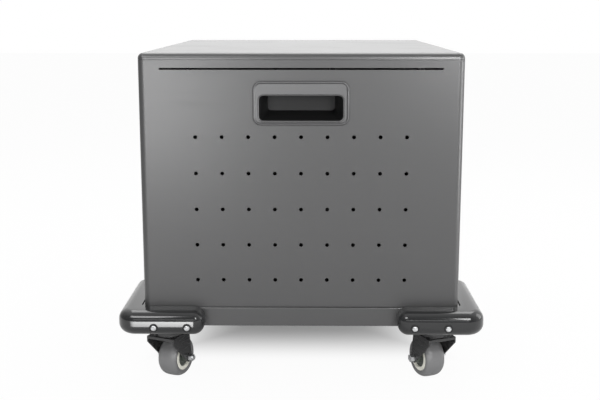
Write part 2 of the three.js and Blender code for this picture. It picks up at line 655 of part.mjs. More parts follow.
// Rocker of the mains switch, resting with its lower half pressed in.
function rockerSwitch() {
  const mesh = prism(outline([
    [-ROCKER_REACH, 0], [-ROCKER_REACH / 2, -ROCKER_BACK], [ROCKER_REACH, -ROCKER_HALF],
    [ROCKER_REACH - ROCKER_DISH, 0], [ROCKER_REACH, ROCKER_HALF], [-ROCKER_REACH / 2, ROCKER_BACK]]),
  'x', -ROCKER_WIDTH / 2, ROCKER_WIDTH / 2);
  const pivot = new THREE.Group();
  pivot.position.set(INLET_X, HALF_DEPTH, INLET_MIDDLE + ROCKER_RISE);
  pivot.rotation.x = -ROCKER_TILT;
  addPiece('rocker_switch', mesh, 'black', pivot);
  cart.add(pivot);
}

// Fixed top plate of a castor with its bearing race and the riveted kingpin below it.
function castorPlate() {
  const top = TRAY_BOTTOM - FIT;
  const half = CASTOR_PLATE / 2;
  const plate = prism(centred(half, half, CASTOR_PLATE_CORNER, 2), 'z', top - CASTOR_PLATE_SHEET, top);
  const crownFloor = FORK_CROWN - FORK_CROWN_SHEET;
  const race = bar('z', RACE_RADIUS, [0, 0], FORK_TOP + FIT, top - CUT_OVER, WHEEL_SIDES);
  const pin = bar('z', KINGPIN_RADIUS, [0, 0], crownFloor - KINGPIN_HEAD, top - CUT_OVER, 12);
  const headTop = crownFloor - FIT;
  const head = bar('z', KINGPIN_HEAD_RADIUS, [0, 0], headTop - KINGPIN_HEAD, headTop, 12);
  return plate.add(race).add(pin).add(head);
}

// Stamped fork: a crown with the lower race and two legs that taper back to the axle.
function castorFork() {
  const inner = WHEEL_WIDTH / 2 + FORK_CLEARANCE;
  const outer = inner + FORK_SHEET;
  const crownFloor = FORK_CROWN - FORK_CROWN_SHEET;
  const foot = WHEEL_RADIUS - 2 * HUB_RADIUS;
  const front = outline([
    [-outer, foot], [-inner, foot], [-inner, crownFloor], [inner, crownFloor],
    [inner, foot], [outer, foot], [outer, FORK_CROWN], [-outer, FORK_CROWN]]);
  const side = outline([
    [-FORK_HALF, FORK_CROWN + CUT_OVER], [-FORK_HALF, crownFloor - FORK_CROWN_SHEET],
    ...arcPoints(CASTOR_TRAIL, WHEEL_RADIUS, HUB_RADIUS, 200, 370, 6),
    [FORK_HALF, crownFloor], [FORK_HALF, FORK_CROWN + CUT_OVER]]);
  const reach = CASTOR_TRAIL + 2 * HUB_RADIUS;
  const past = outer + CUT_OVER;
  const legs = prism(front, 'y', -reach, reach).intersect(prism(side, 'x', -past, past));
  const race = bar('z', RACE_RADIUS, [0, 0], FORK_CROWN - CUT_OVER, FORK_TOP, WHEEL_SIDES);
  const kingpinHole = bar(
    'z', KINGPIN_RADIUS + RUN_CLEARANCE, [0, 0], crownFloor - CUT_OVER, FORK_TOP + CUT_OVER, 12);
  const axleHole = bar('x', AXLE_RADIUS + FIT, [CASTOR_TRAIL, WHEEL_RADIUS], -past, past, 12);
  return legs.add(race).subtract(kingpinHole).subtract(axleHole);
}

// Axle bolt with its head on one leg and its nut on the other.
function castorAxle() {
  const centre = [CASTOR_TRAIL, WHEEL_RADIUS];
  const leg = WHEEL_WIDTH / 2 + FORK_CLEARANCE + FORK_SHEET + FIT;
  const shank = bar('x', AXLE_RADIUS, centre, -leg - CUT_OVER, leg + AXLE_NUT + AXLE_TAIL, 12);
  const head = bar('x', AXLE_NUT_RADIUS, centre, -leg - AXLE_NUT, -leg, 6);
  const nut = bar('x', AXLE_NUT_RADIUS, centre, leg, leg + AXLE_NUT, 6);
  return shank.add(head).add(nut);
}

// Wheel centre with a boss round the axle and a raised outer ring.
function castorRim() {
  const bore = AXLE_RADIUS + RUN_CLEARANCE;
  const boss = HUB_LENGTH / 2;
  const face = WHEEL_WIDTH / 2 - RIM_INSET;
  const web = face - RIM_DISH;
  const ring = RIM_RADIUS - RIM_BAND;
  return turnedRing([
    [bore, -boss], [HUB_RADIUS, -boss], [HUB_RADIUS, -web], [ring, -web], [ring, -face],
    [RIM_RADIUS, -face], [RIM_RADIUS, face], [ring, face], [ring, web], [HUB_RADIUS, web],
    [HUB_RADIUS, boss], [bore, boss]], WHEEL_SIDES);
}

// Crowned tread round the wheel centre.
function castorTyre() {
  const seat = RIM_RADIUS + FIT;
  const half = WHEEL_WIDTH / 2;
  const tread = half - 3 * TYRE_ROUND;
  const shoulder = [WHEEL_RADIUS - TYRE_ROUND, half - TYRE_ROUND];
  const flank = WHEEL_RADIUS - 2.5 * TYRE_ROUND;
  return turnedRing([
    [seat, -half + RIM_INSET], [flank, -half], [shoulder[0], -shoulder[1]], [WHEEL_RADIUS, -tread],
    [WHEEL_RADIUS, tread], shoulder, [flank, half], [seat, half - RIM_INSET]], WHEEL_SIDES);
}

// One castor: its plate is fixed and square to the cart, the fork and wheel stand turned.
function addCastor(corner, sideX, sideY) {
  const mount = new THREE.Group();
  mount.position.set(sideX * SWIVEL_X, sideY * SWIVEL_Y, 0);
  addPiece(`castor_plate_${corner}`, castorPlate(), 'zinc', mount);
  const swivel = new THREE.Group();
  swivel.rotation.z = Math.atan2(sideX * Math.sin(CASTOR_TURN), -sideY * Math.cos(CASTOR_TURN));
  addPiece(`castor_fork_${corner}`, castorFork(), 'fork', swivel);
  addPiece(`castor_axle_${corner}`, castorAxle(), 'zinc', swivel);
  const wheel = new THREE.Group();
  wheel.position.set(0, CASTOR_TRAIL, WHEEL_RADIUS);
  addPiece(`castor_rim_${corner}`, castorRim(), 'rim', wheel);
  addPiece(`castor_tyre_${corner}`, castorTyre(), 'tyre', wheel);
  swivel.add(wheel);
  mount.add(swivel);
  cart.add(mount);
}

addPiece('base_tray', baseTray(), 'body');
addPiece('end_panel_front', endPanel(-1, []), 'body');
addPiece('end_panel_rear', endPanel(1, [inletHole()]), 'body');
addPiece('side_panel_left', sidePanel(-1), 'body');
addPiece('side_panel_right', sidePanel(1), 'body');
addPiece('rim_frame', rimFrame(), 'inside');
addPiece('lid_seal', lidSeal(), 'seal');
addPiece('handle_cup_front', handleCup(-1), 'handle');
addPiece('handle_cup_rear', handleCup(1), 'handle');
addPiece('device_shelf', deviceShelf(), 'inside');
for (let index = 1; index < BAY_COUNT; index += 1) {
  addPiece(`divider_${String(index).padStart(2, '0')}`, divider(index), 'inside');
}
addPiece('charger_partition', chargerPartition(), 'inside');
addPiece('power_strip', powerStrip(), 'black');
addPiece('mains_inlet', mainsInlet(), 'black');
rockerSwitch();
addPiece('lock_barrel', lockBarrel(), 'zinc');
addPiece('lock_cam', lockCam(), 'zinc');
addPiece('lid_panel', lidPanel(), 'body');
addPiece('lid_liner', lidLiner(), 'inside');
addPiece('lid_keeper', lidKeeper(), 'zinc');
for (const [end, place] of Object.entries(HINGE_PLACES)) {
  addPiece(`cabinet_leaf_${end}`, cabinetLeaf(place), 'fork');
  addPiece(`lid_leaf_${end}`, lidLeaf(place), 'fork');
  addPiece(`hinge_pin_${end}`, hingePin(place), 'zinc');
}
for (const [endName, sideY] of [['front', -1], ['rear', 1]]) {
  for (const [sideName, sideX] of [['left', -1], ['right', 1]]) {
    addPiece(`bumper_${endName}_${sideName}`, bumper(sideX, sideY), 'bumper');
    addCastor(`${endName}_${sideName}`, sideX, sideY);
  }
}

export default cart;
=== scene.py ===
"""Dresses the laptop charging cart: finishes, finer meshes, fasteners, floor, light and camera."""

import json
import logging
import math
from dataclasses import dataclass
from enum import Enum
from typing import ClassVar, Sequence

import bmesh
import bpy
from mathutils import Euler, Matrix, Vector

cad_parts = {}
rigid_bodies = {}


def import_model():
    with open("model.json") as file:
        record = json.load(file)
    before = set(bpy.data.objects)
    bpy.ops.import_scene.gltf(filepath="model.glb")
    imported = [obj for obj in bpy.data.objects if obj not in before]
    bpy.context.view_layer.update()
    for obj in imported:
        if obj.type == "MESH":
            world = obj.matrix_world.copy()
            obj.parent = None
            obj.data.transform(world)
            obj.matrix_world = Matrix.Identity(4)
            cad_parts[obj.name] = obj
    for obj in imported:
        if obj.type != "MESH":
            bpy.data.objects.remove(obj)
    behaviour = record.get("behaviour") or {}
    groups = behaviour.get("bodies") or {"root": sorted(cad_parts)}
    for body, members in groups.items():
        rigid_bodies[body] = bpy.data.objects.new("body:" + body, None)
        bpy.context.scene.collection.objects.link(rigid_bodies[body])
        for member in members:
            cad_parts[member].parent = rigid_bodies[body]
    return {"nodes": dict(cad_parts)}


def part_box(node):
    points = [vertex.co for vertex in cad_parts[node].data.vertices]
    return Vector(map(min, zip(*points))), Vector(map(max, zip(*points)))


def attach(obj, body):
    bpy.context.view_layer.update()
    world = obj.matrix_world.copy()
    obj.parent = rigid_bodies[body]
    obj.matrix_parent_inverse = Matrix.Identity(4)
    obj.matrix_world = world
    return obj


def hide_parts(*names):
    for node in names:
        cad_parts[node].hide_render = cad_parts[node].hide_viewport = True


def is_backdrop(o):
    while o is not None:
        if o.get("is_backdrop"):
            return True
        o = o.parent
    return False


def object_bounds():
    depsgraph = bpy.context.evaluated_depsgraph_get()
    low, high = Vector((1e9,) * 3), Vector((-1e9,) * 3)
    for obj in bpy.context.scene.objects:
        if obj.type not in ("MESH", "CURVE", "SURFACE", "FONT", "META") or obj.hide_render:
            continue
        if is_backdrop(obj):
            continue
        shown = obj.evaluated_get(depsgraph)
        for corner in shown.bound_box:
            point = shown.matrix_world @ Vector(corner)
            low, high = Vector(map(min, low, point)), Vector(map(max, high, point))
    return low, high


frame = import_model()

LOG = logging.getLogger("charging_cart")
Point = tuple[float, float]
Triple = tuple[float, float, float]
Section = tuple[float, float, float, float, float]
Object = bpy.types.Object
Draft = bmesh.types.BMesh
Socket = bpy.types.NodeSocket
Outputs = bpy.types.NodeOutputs
Inputs = dict[str | int, object]
MERGE_DISTANCE = 1e-7
CAD_MERGE_DISTANCE = 2e-6
FLAT_ANGLE = 0.6
BEVEL_ANGLE = 32.0
DUST_COLOUR = (0.42, 0.41, 0.39, 1.0)


class Side(Enum):
    """The cart's two ends, by the sign of their Y."""

    FRONT = -1
    REAR = 1


class Corner(Enum):
    """The cart's four corners, by the signs of their X and Y."""

    FRONT_LEFT = (-1, -1)
    FRONT_RIGHT = (1, -1)
    REAR_LEFT = (-1, 1)
    REAR_RIGHT = (1, 1)

    @property
    def label(self) -> str:
        """The corner's part of a node's name."""
        return self.name.lower()


class Slot(Enum):
    """The record's material slots."""

    BODY = "body_paint"
    INNER = "inner_paint"
    BUMPER = "bumper_plastic"
    HANDLE = "handle_plastic"
    FORK = "fork_paint"
    HINGE = "hinge_paint"
    ZINC = "zinc"
    TREAD = "tread_rubber"
    WHEEL = "wheel_nylon"
    BLACK = "black_plastic"
    SEAL = "seal_rubber"


# Node trees


class Graph:
    """Adds nodes to a tree, each with its properties, values and links."""

    def __init__(self, tree: bpy.types.NodeTree) -> None:
        """Takes the tree to work on."""
        self.tree = tree

    def add(self, kind: str, inputs: Inputs | None = None, **settings: object) -> bpy.types.Node:
        """Adds a node.

        Args:
            kind: The node's type.
            inputs: Values or source sockets by input.
            settings: The node's own properties.

        Returns:
            The node.
        """
        made = self.tree.nodes.new(kind)
        for label, value in settings.items():
            setattr(made, label, value)
        self.feed(made, inputs or {})
        return made

    def feed(self, made: bpy.types.Node, inputs: Inputs) -> None:
        """Sets or links some inputs of a node.

        Args:
            made: The node.
            inputs: Values or source sockets by input.
        """
        for key, value in inputs.items():
            if isinstance(value, Socket):
                self.tree.links.new(value, made.inputs[key])
            else:
                made.inputs[key].default_value = value

    def math(self, operation: str, *terms: object, clamp: bool = False) -> Socket:
        """The result of a Math node on sockets or numbers."""
        made = self.add("ShaderNodeMath", dict(enumerate(terms)), operation=operation, use_clamp=clamp)
        return made.outputs[0]

    def vector(self, operation: str, *terms: object) -> Socket:
        """The result of a Vector Math node on sockets or vectors."""
        return self.add("ShaderNodeVectorMath", dict(enumerate(terms)), operation=operation).outputs["Vector"]

    def remap(self, value: Socket, start: Point, end: Point = (0.0, 1.0), kind: str = "LINEAR") -> Socket:
        """Takes a value from one range to another and holds it at the ends."""
        inputs = dict(zip(("Value", "From Min", "From Max", "To Min", "To Max"), (value, *start, *end)))
        return self.add("ShaderNodeMapRange", inputs, interpolation_type=kind).outputs["Result"]

    def mix(self, factor: Socket, first: object, second: object, kind: str = "FLOAT") -> Socket:
        """A mix of two numbers or, as RGBA, of two colours."""
        inputs = {"Factor": factor, "A": first, "B": second}
        return self.add("ShaderNodeMix", inputs, data_type=kind).outputs["Result"]

    def noise(self, place: Socket, scale: object, detail: float) -> Socket:
        """Noise over a place."""
        inputs = {"Vector": place, "Scale": scale, "Detail": detail}
        return self.add("ShaderNodeTexNoise", inputs).outputs["Fac"]

    def place(self, kind: str = "Object") -> Socket:
        """Texture coordinates, the piece's own unless said."""
        return self.add("ShaderNodeTexCoord").outputs[kind]

    def split(self, source: Socket) -> Outputs:
        """The X, Y and Z of a vector."""
        return self.add("ShaderNodeSeparateXYZ", {0: source}).outputs


class NodeGroup:
    """A node tree that is built once, with the kinds of its named inputs and outputs."""

    NAME: ClassVar[str]
    TREE: ClassVar[str]
    INPUTS: ClassVar[dict[str, str]]
    OUTPUTS: ClassVar[dict[str, str]]

    def lay_out(self, graph: Graph, given: Outputs) -> Inputs:
        """Adds the group's own nodes and gives its outputs by name."""
        raise NotImplementedError

    def tree(self) -> bpy.types.NodeTree:
        """Builds the tree once.

        Returns:
            The tree.
        """
        if self.NAME in bpy.data.node_groups:
            return bpy.data.node_groups[self.NAME]
        tree = bpy.data.node_groups.new(self.NAME, self.TREE)
        for way, sockets in (("INPUT", self.INPUTS), ("OUTPUT", self.OUTPUTS)):
            for label, kind in sockets.items():
                tree.interface.new_socket(label, in_out=way, socket_type=f"NodeSocket{kind}")
        graph = Graph(tree)
        graph.add("NodeGroupOutput", self.lay_out(graph, graph.add("NodeGroupInput").outputs))
        return tree


class Effect(NodeGroup):
    """A shader node group that the finishes share."""

    TREE = "ShaderNodeTree"
    INPUTS = {"Amount": "Float"}
    OUTPUTS = {"Mask": "Float"}

    def mask(self, graph: Graph) -> Socket:
        """The effect's mask, from 0 to 1."""
        raise NotImplementedError

    def lay_out(self, graph: Graph, given: Outputs) -> Inputs:
        """Scales the mask by its amount."""
        return {"Mask": graph.math("MULTIPLY", self.mask(graph), given["Amount"])}

    def use(self, graph: Graph, **inputs: float) -> Outputs:
        """Adds the group to a material, with its inputs by name and underscores for spaces."""
        named = {label.replace("_", " "): value for label, value in inputs.items()}
        return graph.add("ShaderNodeGroup", named, node_tree=self.tree()).outputs


class GrainGroup(Effect):
    """A fine surface grain with a slow drift: Tone lies around 1, Height from 0 to 1."""

    NAME = "surface_grain"
    INPUTS = {"Grain Size": "Float", "Grain Contrast": "Float", "Drift Size": "Float", "Drift": "Float"}
    OUTPUTS = {"Tone": "Float", "Height": "Float"}
    GRAIN_DETAIL = 3.0
    DRIFT_DETAIL = 2.0

    def lay_out(self, graph: Graph, given: Outputs) -> Inputs:
        """Adds two noises and sums their swings.

        Args:
            graph: The group's graph.
            given: Its inputs.

        Returns:
            Its outputs.
        """
        place = graph.place()

        def noise(size: str, detail: float) -> Socket:
            """Noise of a named feature size in metres."""
            return graph.noise(place, graph.math("DIVIDE", 1.0, given[size]), detail)

        def swing(source: Socket, amount: str, base: object) -> Socket:
            """Adds (source - 0.5) times a named amount to base."""
            return graph.math("MULTIPLY_ADD", graph.math("SUBTRACT", source, 0.5), given[amount], base)

        grain = noise("Grain Size", self.GRAIN_DETAIL)
        drift = noise("Drift Size", self.DRIFT_DETAIL)
        return {"Tone": swing(drift, "Drift", swing(grain, "Grain Contrast", 1.0)), "Height": grain}


class DustGroup(Effect):
    """Thin dust that settles on faces that look up, from 0 to its Amount."""

    NAME = "settled_dust"
    UPWARD = (0.55, 1.0)
    SCALE = 14.0
    DETAIL = 5.0

    def mask(self, graph: Graph) -> Socket:
        """Patches of noise where the normal points up."""
        normal = graph.split(graph.add("ShaderNodeNewGeometry").outputs["Normal"])
        return graph.math("MULTIPLY", graph.remap(normal["Z"], self.UPWARD),
                          graph.noise(graph.place(), self.SCALE, self.DETAIL))


class ScuffGroup(Effect):
    """Fine rub marks drawn along the floor's direction, from 0 to its Amount."""

    NAME = "rub_marks"
    STRETCH = (9.0, 9.0, 160.0)
    DETAIL = 4.0
    BAND = (0.52, 0.72)

    def mask(self, graph: Graph) -> Socket:
        """The strongest part of a stretched noise."""
        place = graph.add("ShaderNodeMapping", {"Vector": graph.place(), "Scale": self.STRETCH})
        return graph.remap(graph.noise(place.outputs["Vector"], 1.0, self.DETAIL), self.BAND)


# Finishes


@dataclass(frozen=True)
class Finish:
    """One surface finish: its colour, gloss, grain, dust and rub marks.

    Sizes of grain are in metres, colours are linear.
    """

    name: str
    colour: Triple
    roughness: float
    metallic: float = 0.0
    specular: float = 0.5
    coat: float = 0.0
    coat_roughness: float = 0.1
    grain_size: float = 0.0016
    grain_contrast: float = 0.08
    drift_size: float = 0.3
    drift: float = 0.08
    relief: float = 0.05
    relief_depth: float = 0.0004
    dust: float = 0.04
    rub: float = 0.06

    def deepen(self, graph: Graph, colour: Socket) -> Socket:
        """Leaves the colour as it is; a moulding with a deep recess paints shade into it there."""
        return colour

    def material(self) -> bpy.types.Material:
        """Builds the finish's node material once.

        Returns:
            The material, which every piece in this finish shares.
        """
        if self.name in bpy.data.materials:
            return bpy.data.materials[self.name]
        material = bpy.data.materials.new(self.name)
        material.use_nodes = True
        graph = Graph(material.node_tree)
        grain = GrainGroup().use(graph, Grain_Size=self.grain_size, Grain_Contrast=self.grain_contrast,
                                 Drift_Size=self.drift_size, Drift=self.drift)
        dust = DustGroup().use(graph, Amount=self.dust)["Mask"]
        rub = ScuffGroup().use(graph, Amount=self.rub)["Mask"]
        toned = graph.add("ShaderNodeVectorMath", {0: self.colour}, operation="SCALE")
        graph.feed(toned, {"Scale": grain["Tone"]})
        dusty = graph.mix(dust, toned.outputs["Vector"], DUST_COLOUR, "RGBA")
        rough = graph.math("ADD", graph.math("MULTIPLY", grain["Tone"], self.roughness), rub, clamp=True)
        bump = graph.add("ShaderNodeBump", {"Strength": self.relief, "Distance": self.relief_depth,
                                            "Height": grain["Height"]})
        graph.feed(graph.tree.nodes["Principled BSDF"], {
            "Base Color": self.deepen(graph, dusty), "Roughness": rough, "Normal": bump.outputs["Normal"],
            "Metallic": self.metallic, "Specular IOR Level": self.specular, "Coat Weight": self.coat,
            "Coat Roughness": self.coat_roughness})
        return material


@dataclass(frozen=True)
class CupFinish(Finish):
    """The handle's moulding in one colour, with painted shade that darkens it inside the cup behind the rim.

    Depths are distances from the cart's middle, in metres.
    """

    rim_depth: float = 0.3313
    dark_depth: float = 0.3290
    # Colour of the painted shade inside the cup.
    dark: tuple[float, float, float, float] = (0.018, 0.018, 0.0185, 1.0)

    def deepen(self, graph: Graph, colour: Socket) -> Socket:
        """Paints shade into the colour behind the rim, in full from a little deeper in."""
        depth = graph.math("ABSOLUTE", graph.split(graph.place())["Y"])
        return graph.mix(graph.remap(depth, (self.rim_depth, self.dark_depth)), colour, self.dark, "RGBA")


FINISHES: dict[Slot, Finish] = {
    Slot.BODY: Finish("graphite_powder_coat", (0.079, 0.079, 0.0803), 0.44, metallic=0.45, coat=0.5,
                      coat_roughness=0.28, grain_size=0.0011, grain_contrast=0.16, relief=0.1),
    Slot.INNER: Finish("light_grey_powder_coat", (0.26, 0.26, 0.265), 0.5, grain_size=0.0012, relief=0.1),
    Slot.BUMPER: Finish("gloss_bumper_plastic", (0.018, 0.0185, 0.0195), 0.13, coat=0.35, coat_roughness=0.05,
                        grain_contrast=0.04, relief=0.012, dust=0.03, rub=0.05),
    # The handle's finish paints shade inside the cup, behind the rim.
    Slot.HANDLE: CupFinish("grained_handle_plastic", (0.125, 0.125, 0.127), 0.44, metallic=0.6,
                           grain_size=0.0009, relief=0.1),
    Slot.FORK: Finish("black_fork_coat", (0.028, 0.028, 0.029), 0.26, specular=0.7),
    Slot.HINGE: Finish("grey_hinge_coat", (0.16, 0.16, 0.165), 0.4, metallic=0.4, relief=0.06),
    Slot.ZINC: Finish("bright_zinc_plate", (0.80, 0.81, 0.82), 0.3, metallic=1.0, grain_size=0.004,
                      grain_contrast=0.25, drift=0.2, relief=0.03, rub=0.08),
    Slot.TREAD: Finish("grey_tread_rubber", (0.18, 0.18, 0.183), 0.36, specular=0.7, grain_size=0.0008,
                       grain_contrast=0.2, relief=0.2, dust=0.12),
    Slot.WHEEL: Finish("cream_nylon", (0.87, 0.86, 0.77), 0.42),
    Slot.BLACK: Finish("black_moulding", (0.012, 0.012, 0.013), 0.42, grain_size=0.0007, relief=0.14),
    Slot.SEAL: Finish("black_foam_rubber", (0.009, 0.009, 0.009), 0.8, grain_size=0.0009, grain_contrast=0.4,
                      relief=0.4),
}
HUB_FINISH = Finish("grey_green_hub_moulding", (0.075, 0.085, 0.075), 0.4, relief=0.08)


# Mesh work


def arc(centre: Point, radius: float, start: float, end: float, steps: int) -> list[Point]:
    """Points of an arc between two angles in degrees, both ends among them, in a number of chords."""
    angles = [math.radians(start + (end - start) * i / steps) for i in range(steps + 1)]
    return [(centre[0] + radius * math.cos(a), centre[1] + radius * math.sin(a)) for a in angles]


def rounded_rectangle(half_x: float, half_y: float, radius: float, steps: int) -> list[Point]:
    """Outline of a rounded rectangle about the origin, anticlockwise, with the chords in each corner."""
    x, y = half_x - radius, half_y - radius
    return (arc((x, y), radius, 0, 90, steps) + arc((-x, y), radius, 90, 180, steps)
            + arc((-x, -y), radius, 180, 270, steps) + arc((x, -y), radius, 270, 360, steps))


def at_level(plan: Sequence[Point], z: float) -> list[Vector]:
    """A plan's points at one height."""
    return [Vector((x, y, z)) for x, y in plan]


def ring_stack(rings: Sequence[Sequence[Vector]], closed: bool = False) -> Draft:
    """Skins rings that have the same number of points.

    Args:
        rings: The rings in order.
        closed: Whether the last ring joins the first; otherwise both ends are capped.

    Returns:
        A closed shell.
    """
    draft = bmesh.new()
    rows = [[draft.verts.new(p) for p in ring] for ring in rings]
    pairs = list(zip(rows, rows[1:])) + ([(rows[-1], rows[0])] if closed else [])
    for low, high in pairs:
        for i in range(len(low)):
            j = (i + 1) % len(low)
            draft.faces.new((low[i], low[j], high[j], high[i]))
    if not closed:
        draft.faces.new(list(reversed(rows[0])))
        draft.faces.new(rows[-1])
    bmesh.ops.remove_doubles(draft, verts=draft.verts, dist=MERGE_DISTANCE)
    bmesh.ops.recalc_face_normals(draft, faces=draft.faces)
    return draft


def lathe(profile: Sequence[Point], origin: Vector, axis: Vector, segments: int) -> Draft:
    """Turns a closed profile around an axis.

    Args:
        profile: (radius, place along the axis) points of a closed loop, none on the axis itself.
        origin: The profile's zero on the axis.
        axis: The axis's direction.
        segments: Number of steps around.

    Returns:
        The turned ring.
    """
    along = axis.normalized()
    across = along.orthogonal().normalized()
    other = along.cross(across)
    rings = []
    for i in range(segments):
        a = 2 * math.pi * i / segments
        out = across * math.cos(a) + other * math.sin(a)
        rings.append([origin + out * r + along * t for r, t in profile])
    return ring_stack(rings, closed=True)


def shade(mesh: bpy.types.Mesh, angle: float) -> None:
    """Shades a mesh smooth, with sharp edges above an angle in degrees."""
    mesh.shade_smooth()
    mesh.set_sharp_from_angle(angle=math.radians(angle))


def mesh_object(draft: Draft, name: str, angle: float = 40.0) -> Object:
    """Makes an object of a draft and frees the draft.

    Args:
        draft: The mesh under work.
        name: The piece's name.
        angle: Edge angle in degrees above which shading breaks.

    Returns:
        The object, linked to the scene.
    """
    mesh = bpy.data.meshes.new(name)
    draft.to_mesh(mesh)
    draft.free()
    shade(mesh, angle)
    made = bpy.data.objects.new(name, mesh)
    bpy.context.scene.collection.objects.link(made)
    return made


def settle(made: Object) -> Object:
    """Turns an object's modifiers into plain mesh.

    Args:
        made: An object with live modifiers.

    Returns:
        The same object with the result as its mesh.
    """
    graph = bpy.context.evaluated_depsgraph_get()
    mesh = bpy.data.meshes.new_from_object(made.evaluated_get(graph), depsgraph=graph)
    made.modifiers.clear()
    old = made.data
    made.data = mesh
    bpy.data.meshes.remove(old)
    mesh.name = made.name
    return made


def joined(pieces: Sequence[Object], name: str) -> Object:
    """Joins pieces into one object.

    Args:
        pieces: The objects, which are removed.
        name: The new object's name.

    Returns:
        The joined object.
    """
    draft = bmesh.new()
    for piece in pieces:
        draft.from_mesh(piece.data)
    made = mesh_object(draft, name, 35.0)
    for piece in pieces:
        bpy.data.objects.remove(piece)
    return made


def dress(made: Object, slot: Slot, body: str, *nodes: str, finish: Finish | None = None) -> None:
    """Gives a piece its finish, its body and the CAD nodes that it stands for.

    Args:
        made: The piece.
        slot: Material slot.
        body: CAD body that it rides on.
        nodes: CAD nodes that it replaces.
        finish: A finish other than the slot's own.
    """
    made.data.materials.clear()
    made.data.materials.append((finish or FINISHES[slot]).material())
    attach(made, body)
    if nodes:
        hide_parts(*nodes)
    LOG.info("%s rides on %s", made.name, body)


def soften(node: str, width: float, slot: Slot, body: str, segments: int = 2) -> None:
    """Dresses a copy of a CAD node, as one merged mesh whose sharp edges are rounded.

    Args:
        node: The node's name.
        width: Rounding in metres.
        slot: Material slot.
        body: CAD body that it rides on.
        segments: Steps of the rounding.
    """
    draft = bmesh.new()
    draft.from_mesh(frame["nodes"][node].data)
    bmesh.ops.remove_doubles(draft, verts=draft.verts, dist=CAD_MERGE_DISTANCE)
    flat = math.radians(FLAT_ANGLE)
    bmesh.ops.dissolve_limit(draft, angle_limit=flat, verts=draft.verts, edges=draft.edges)
    made = mesh_object(draft, f"{node}_dressed")
    bevel = made.modifiers.new("edges", "BEVEL")
    bevel.width = width
    bevel.segments = segments
    bevel.limit_method = "ANGLE"
    bevel.angle_limit = math.radians(BEVEL_ANGLE)
    bevel.use_clamp_overlap = True
    bevel.harden_normals = True
    dress(settle(made), slot, body, node)


def paint_node(node: str, slot: Slot) -> None:
    """Gives a CAD node that stays in view its finish.

    Args:
        node: The node's name.
        slot: Material slot.
    """
    shown = frame["nodes"][node]
    material = FINISHES[slot].material()
    if not shown.material_slots:
        shown.data.materials.append(material)
    for holder in shown.material_slots:
        holder.material = material
    LOG.info("%s keeps its CAD shape", node)


# Geometry Nodes


class NodeTool(NodeGroup):
    """A Geometry Nodes tree that is run on an object and turned into plain mesh."""

    TREE = "GeometryNodeTree"
    OUTPUTS = {"Geometry": "Geometry"}

    def end(self, graph: Graph, source: Socket, material: Socket) -> Socket:
        """Ends the tree in Realize Instances and Set Material."""
        real = graph.add("GeometryNodeRealizeInstances", {"Geometry": source}).outputs[0]
        return graph.add("GeometryNodeSetMaterial", {"Geometry": real, "Material": material}).outputs[0]

    def run(self, made: Object, **values: object) -> Object:
        """Runs the tree on an object.

        Args:
            made: The object that the tree starts from.
            values: Inputs by name, with underscores for spaces.

        Returns:
            The object with the result as plain mesh.
        """
        tree = self.tree()
        tree.is_modifier = True
        modifier = made.modifiers.new(self.NAME, "NODES")
        modifier.node_group = tree
        for socket in tree.interface.items_tree:
            key = socket.name.replace(" ", "_")
            if socket.in_out == "INPUT" and key in values:
                modifier[socket.identifier] = values[key]
        return settle(made)


class PieceRow(NodeTool):
    """Sets copies of a small piece along a straight line."""

    NAME = "piece_row"
    INPUTS = {"Geometry": "Geometry", "Piece": "Object", "Count": "Int", "Start": "Vector", "Step": "Vector",
              "Turn": "Vector", "Material": "Material"}

    def lay_out(self, graph: Graph, given: Outputs) -> Inputs:
        """Adds the line, the copies and their turn.

        Args:
            graph: The tree's graph.
            given: Its inputs.

        Returns:
            The copies.
        """
        line = graph.add("GeometryNodeMeshLine", {"Count": given["Count"], "Start Location": given["Start"],
                                                  "Offset": given["Step"]})
        source = graph.add("GeometryNodeObjectInfo", {"Object": given["Piece"]})
        turn = graph.add("FunctionNodeEulerToRotation", {"Euler": given["Turn"]})
        copies = graph.add("GeometryNodeInstanceOnPoints", {
            "Points": line.outputs[0], "Instance": source.outputs["Geometry"], "Rotation": turn.outputs[0]})
        return {"Geometry": self.end(graph, copies.outputs[0], given["Material"])}

    def row(self, name: str, piece: Object, slot: Slot, count: int, start: Vector, step: Vector,
            facing: Vector) -> Object:
        """Makes one row of a piece drawn around +Z.

        Args:
            name: The row's name.
            piece: The piece to copy.
            slot: Its material slot.
            count: Number of copies.
            start: Place of the first.
            step: Way from one to the next.
            facing: Where the piece's +Z points.

        Returns:
            The row as plain mesh.
        """
        holder = mesh_object(bmesh.new(), name)
        turn = facing.to_track_quat("Z", "Y").to_euler()
        return self.run(holder, Piece=piece, Count=count, Start=tuple(start), Step=tuple(step),
                        Turn=tuple(turn), Material=FINISHES[slot].material())


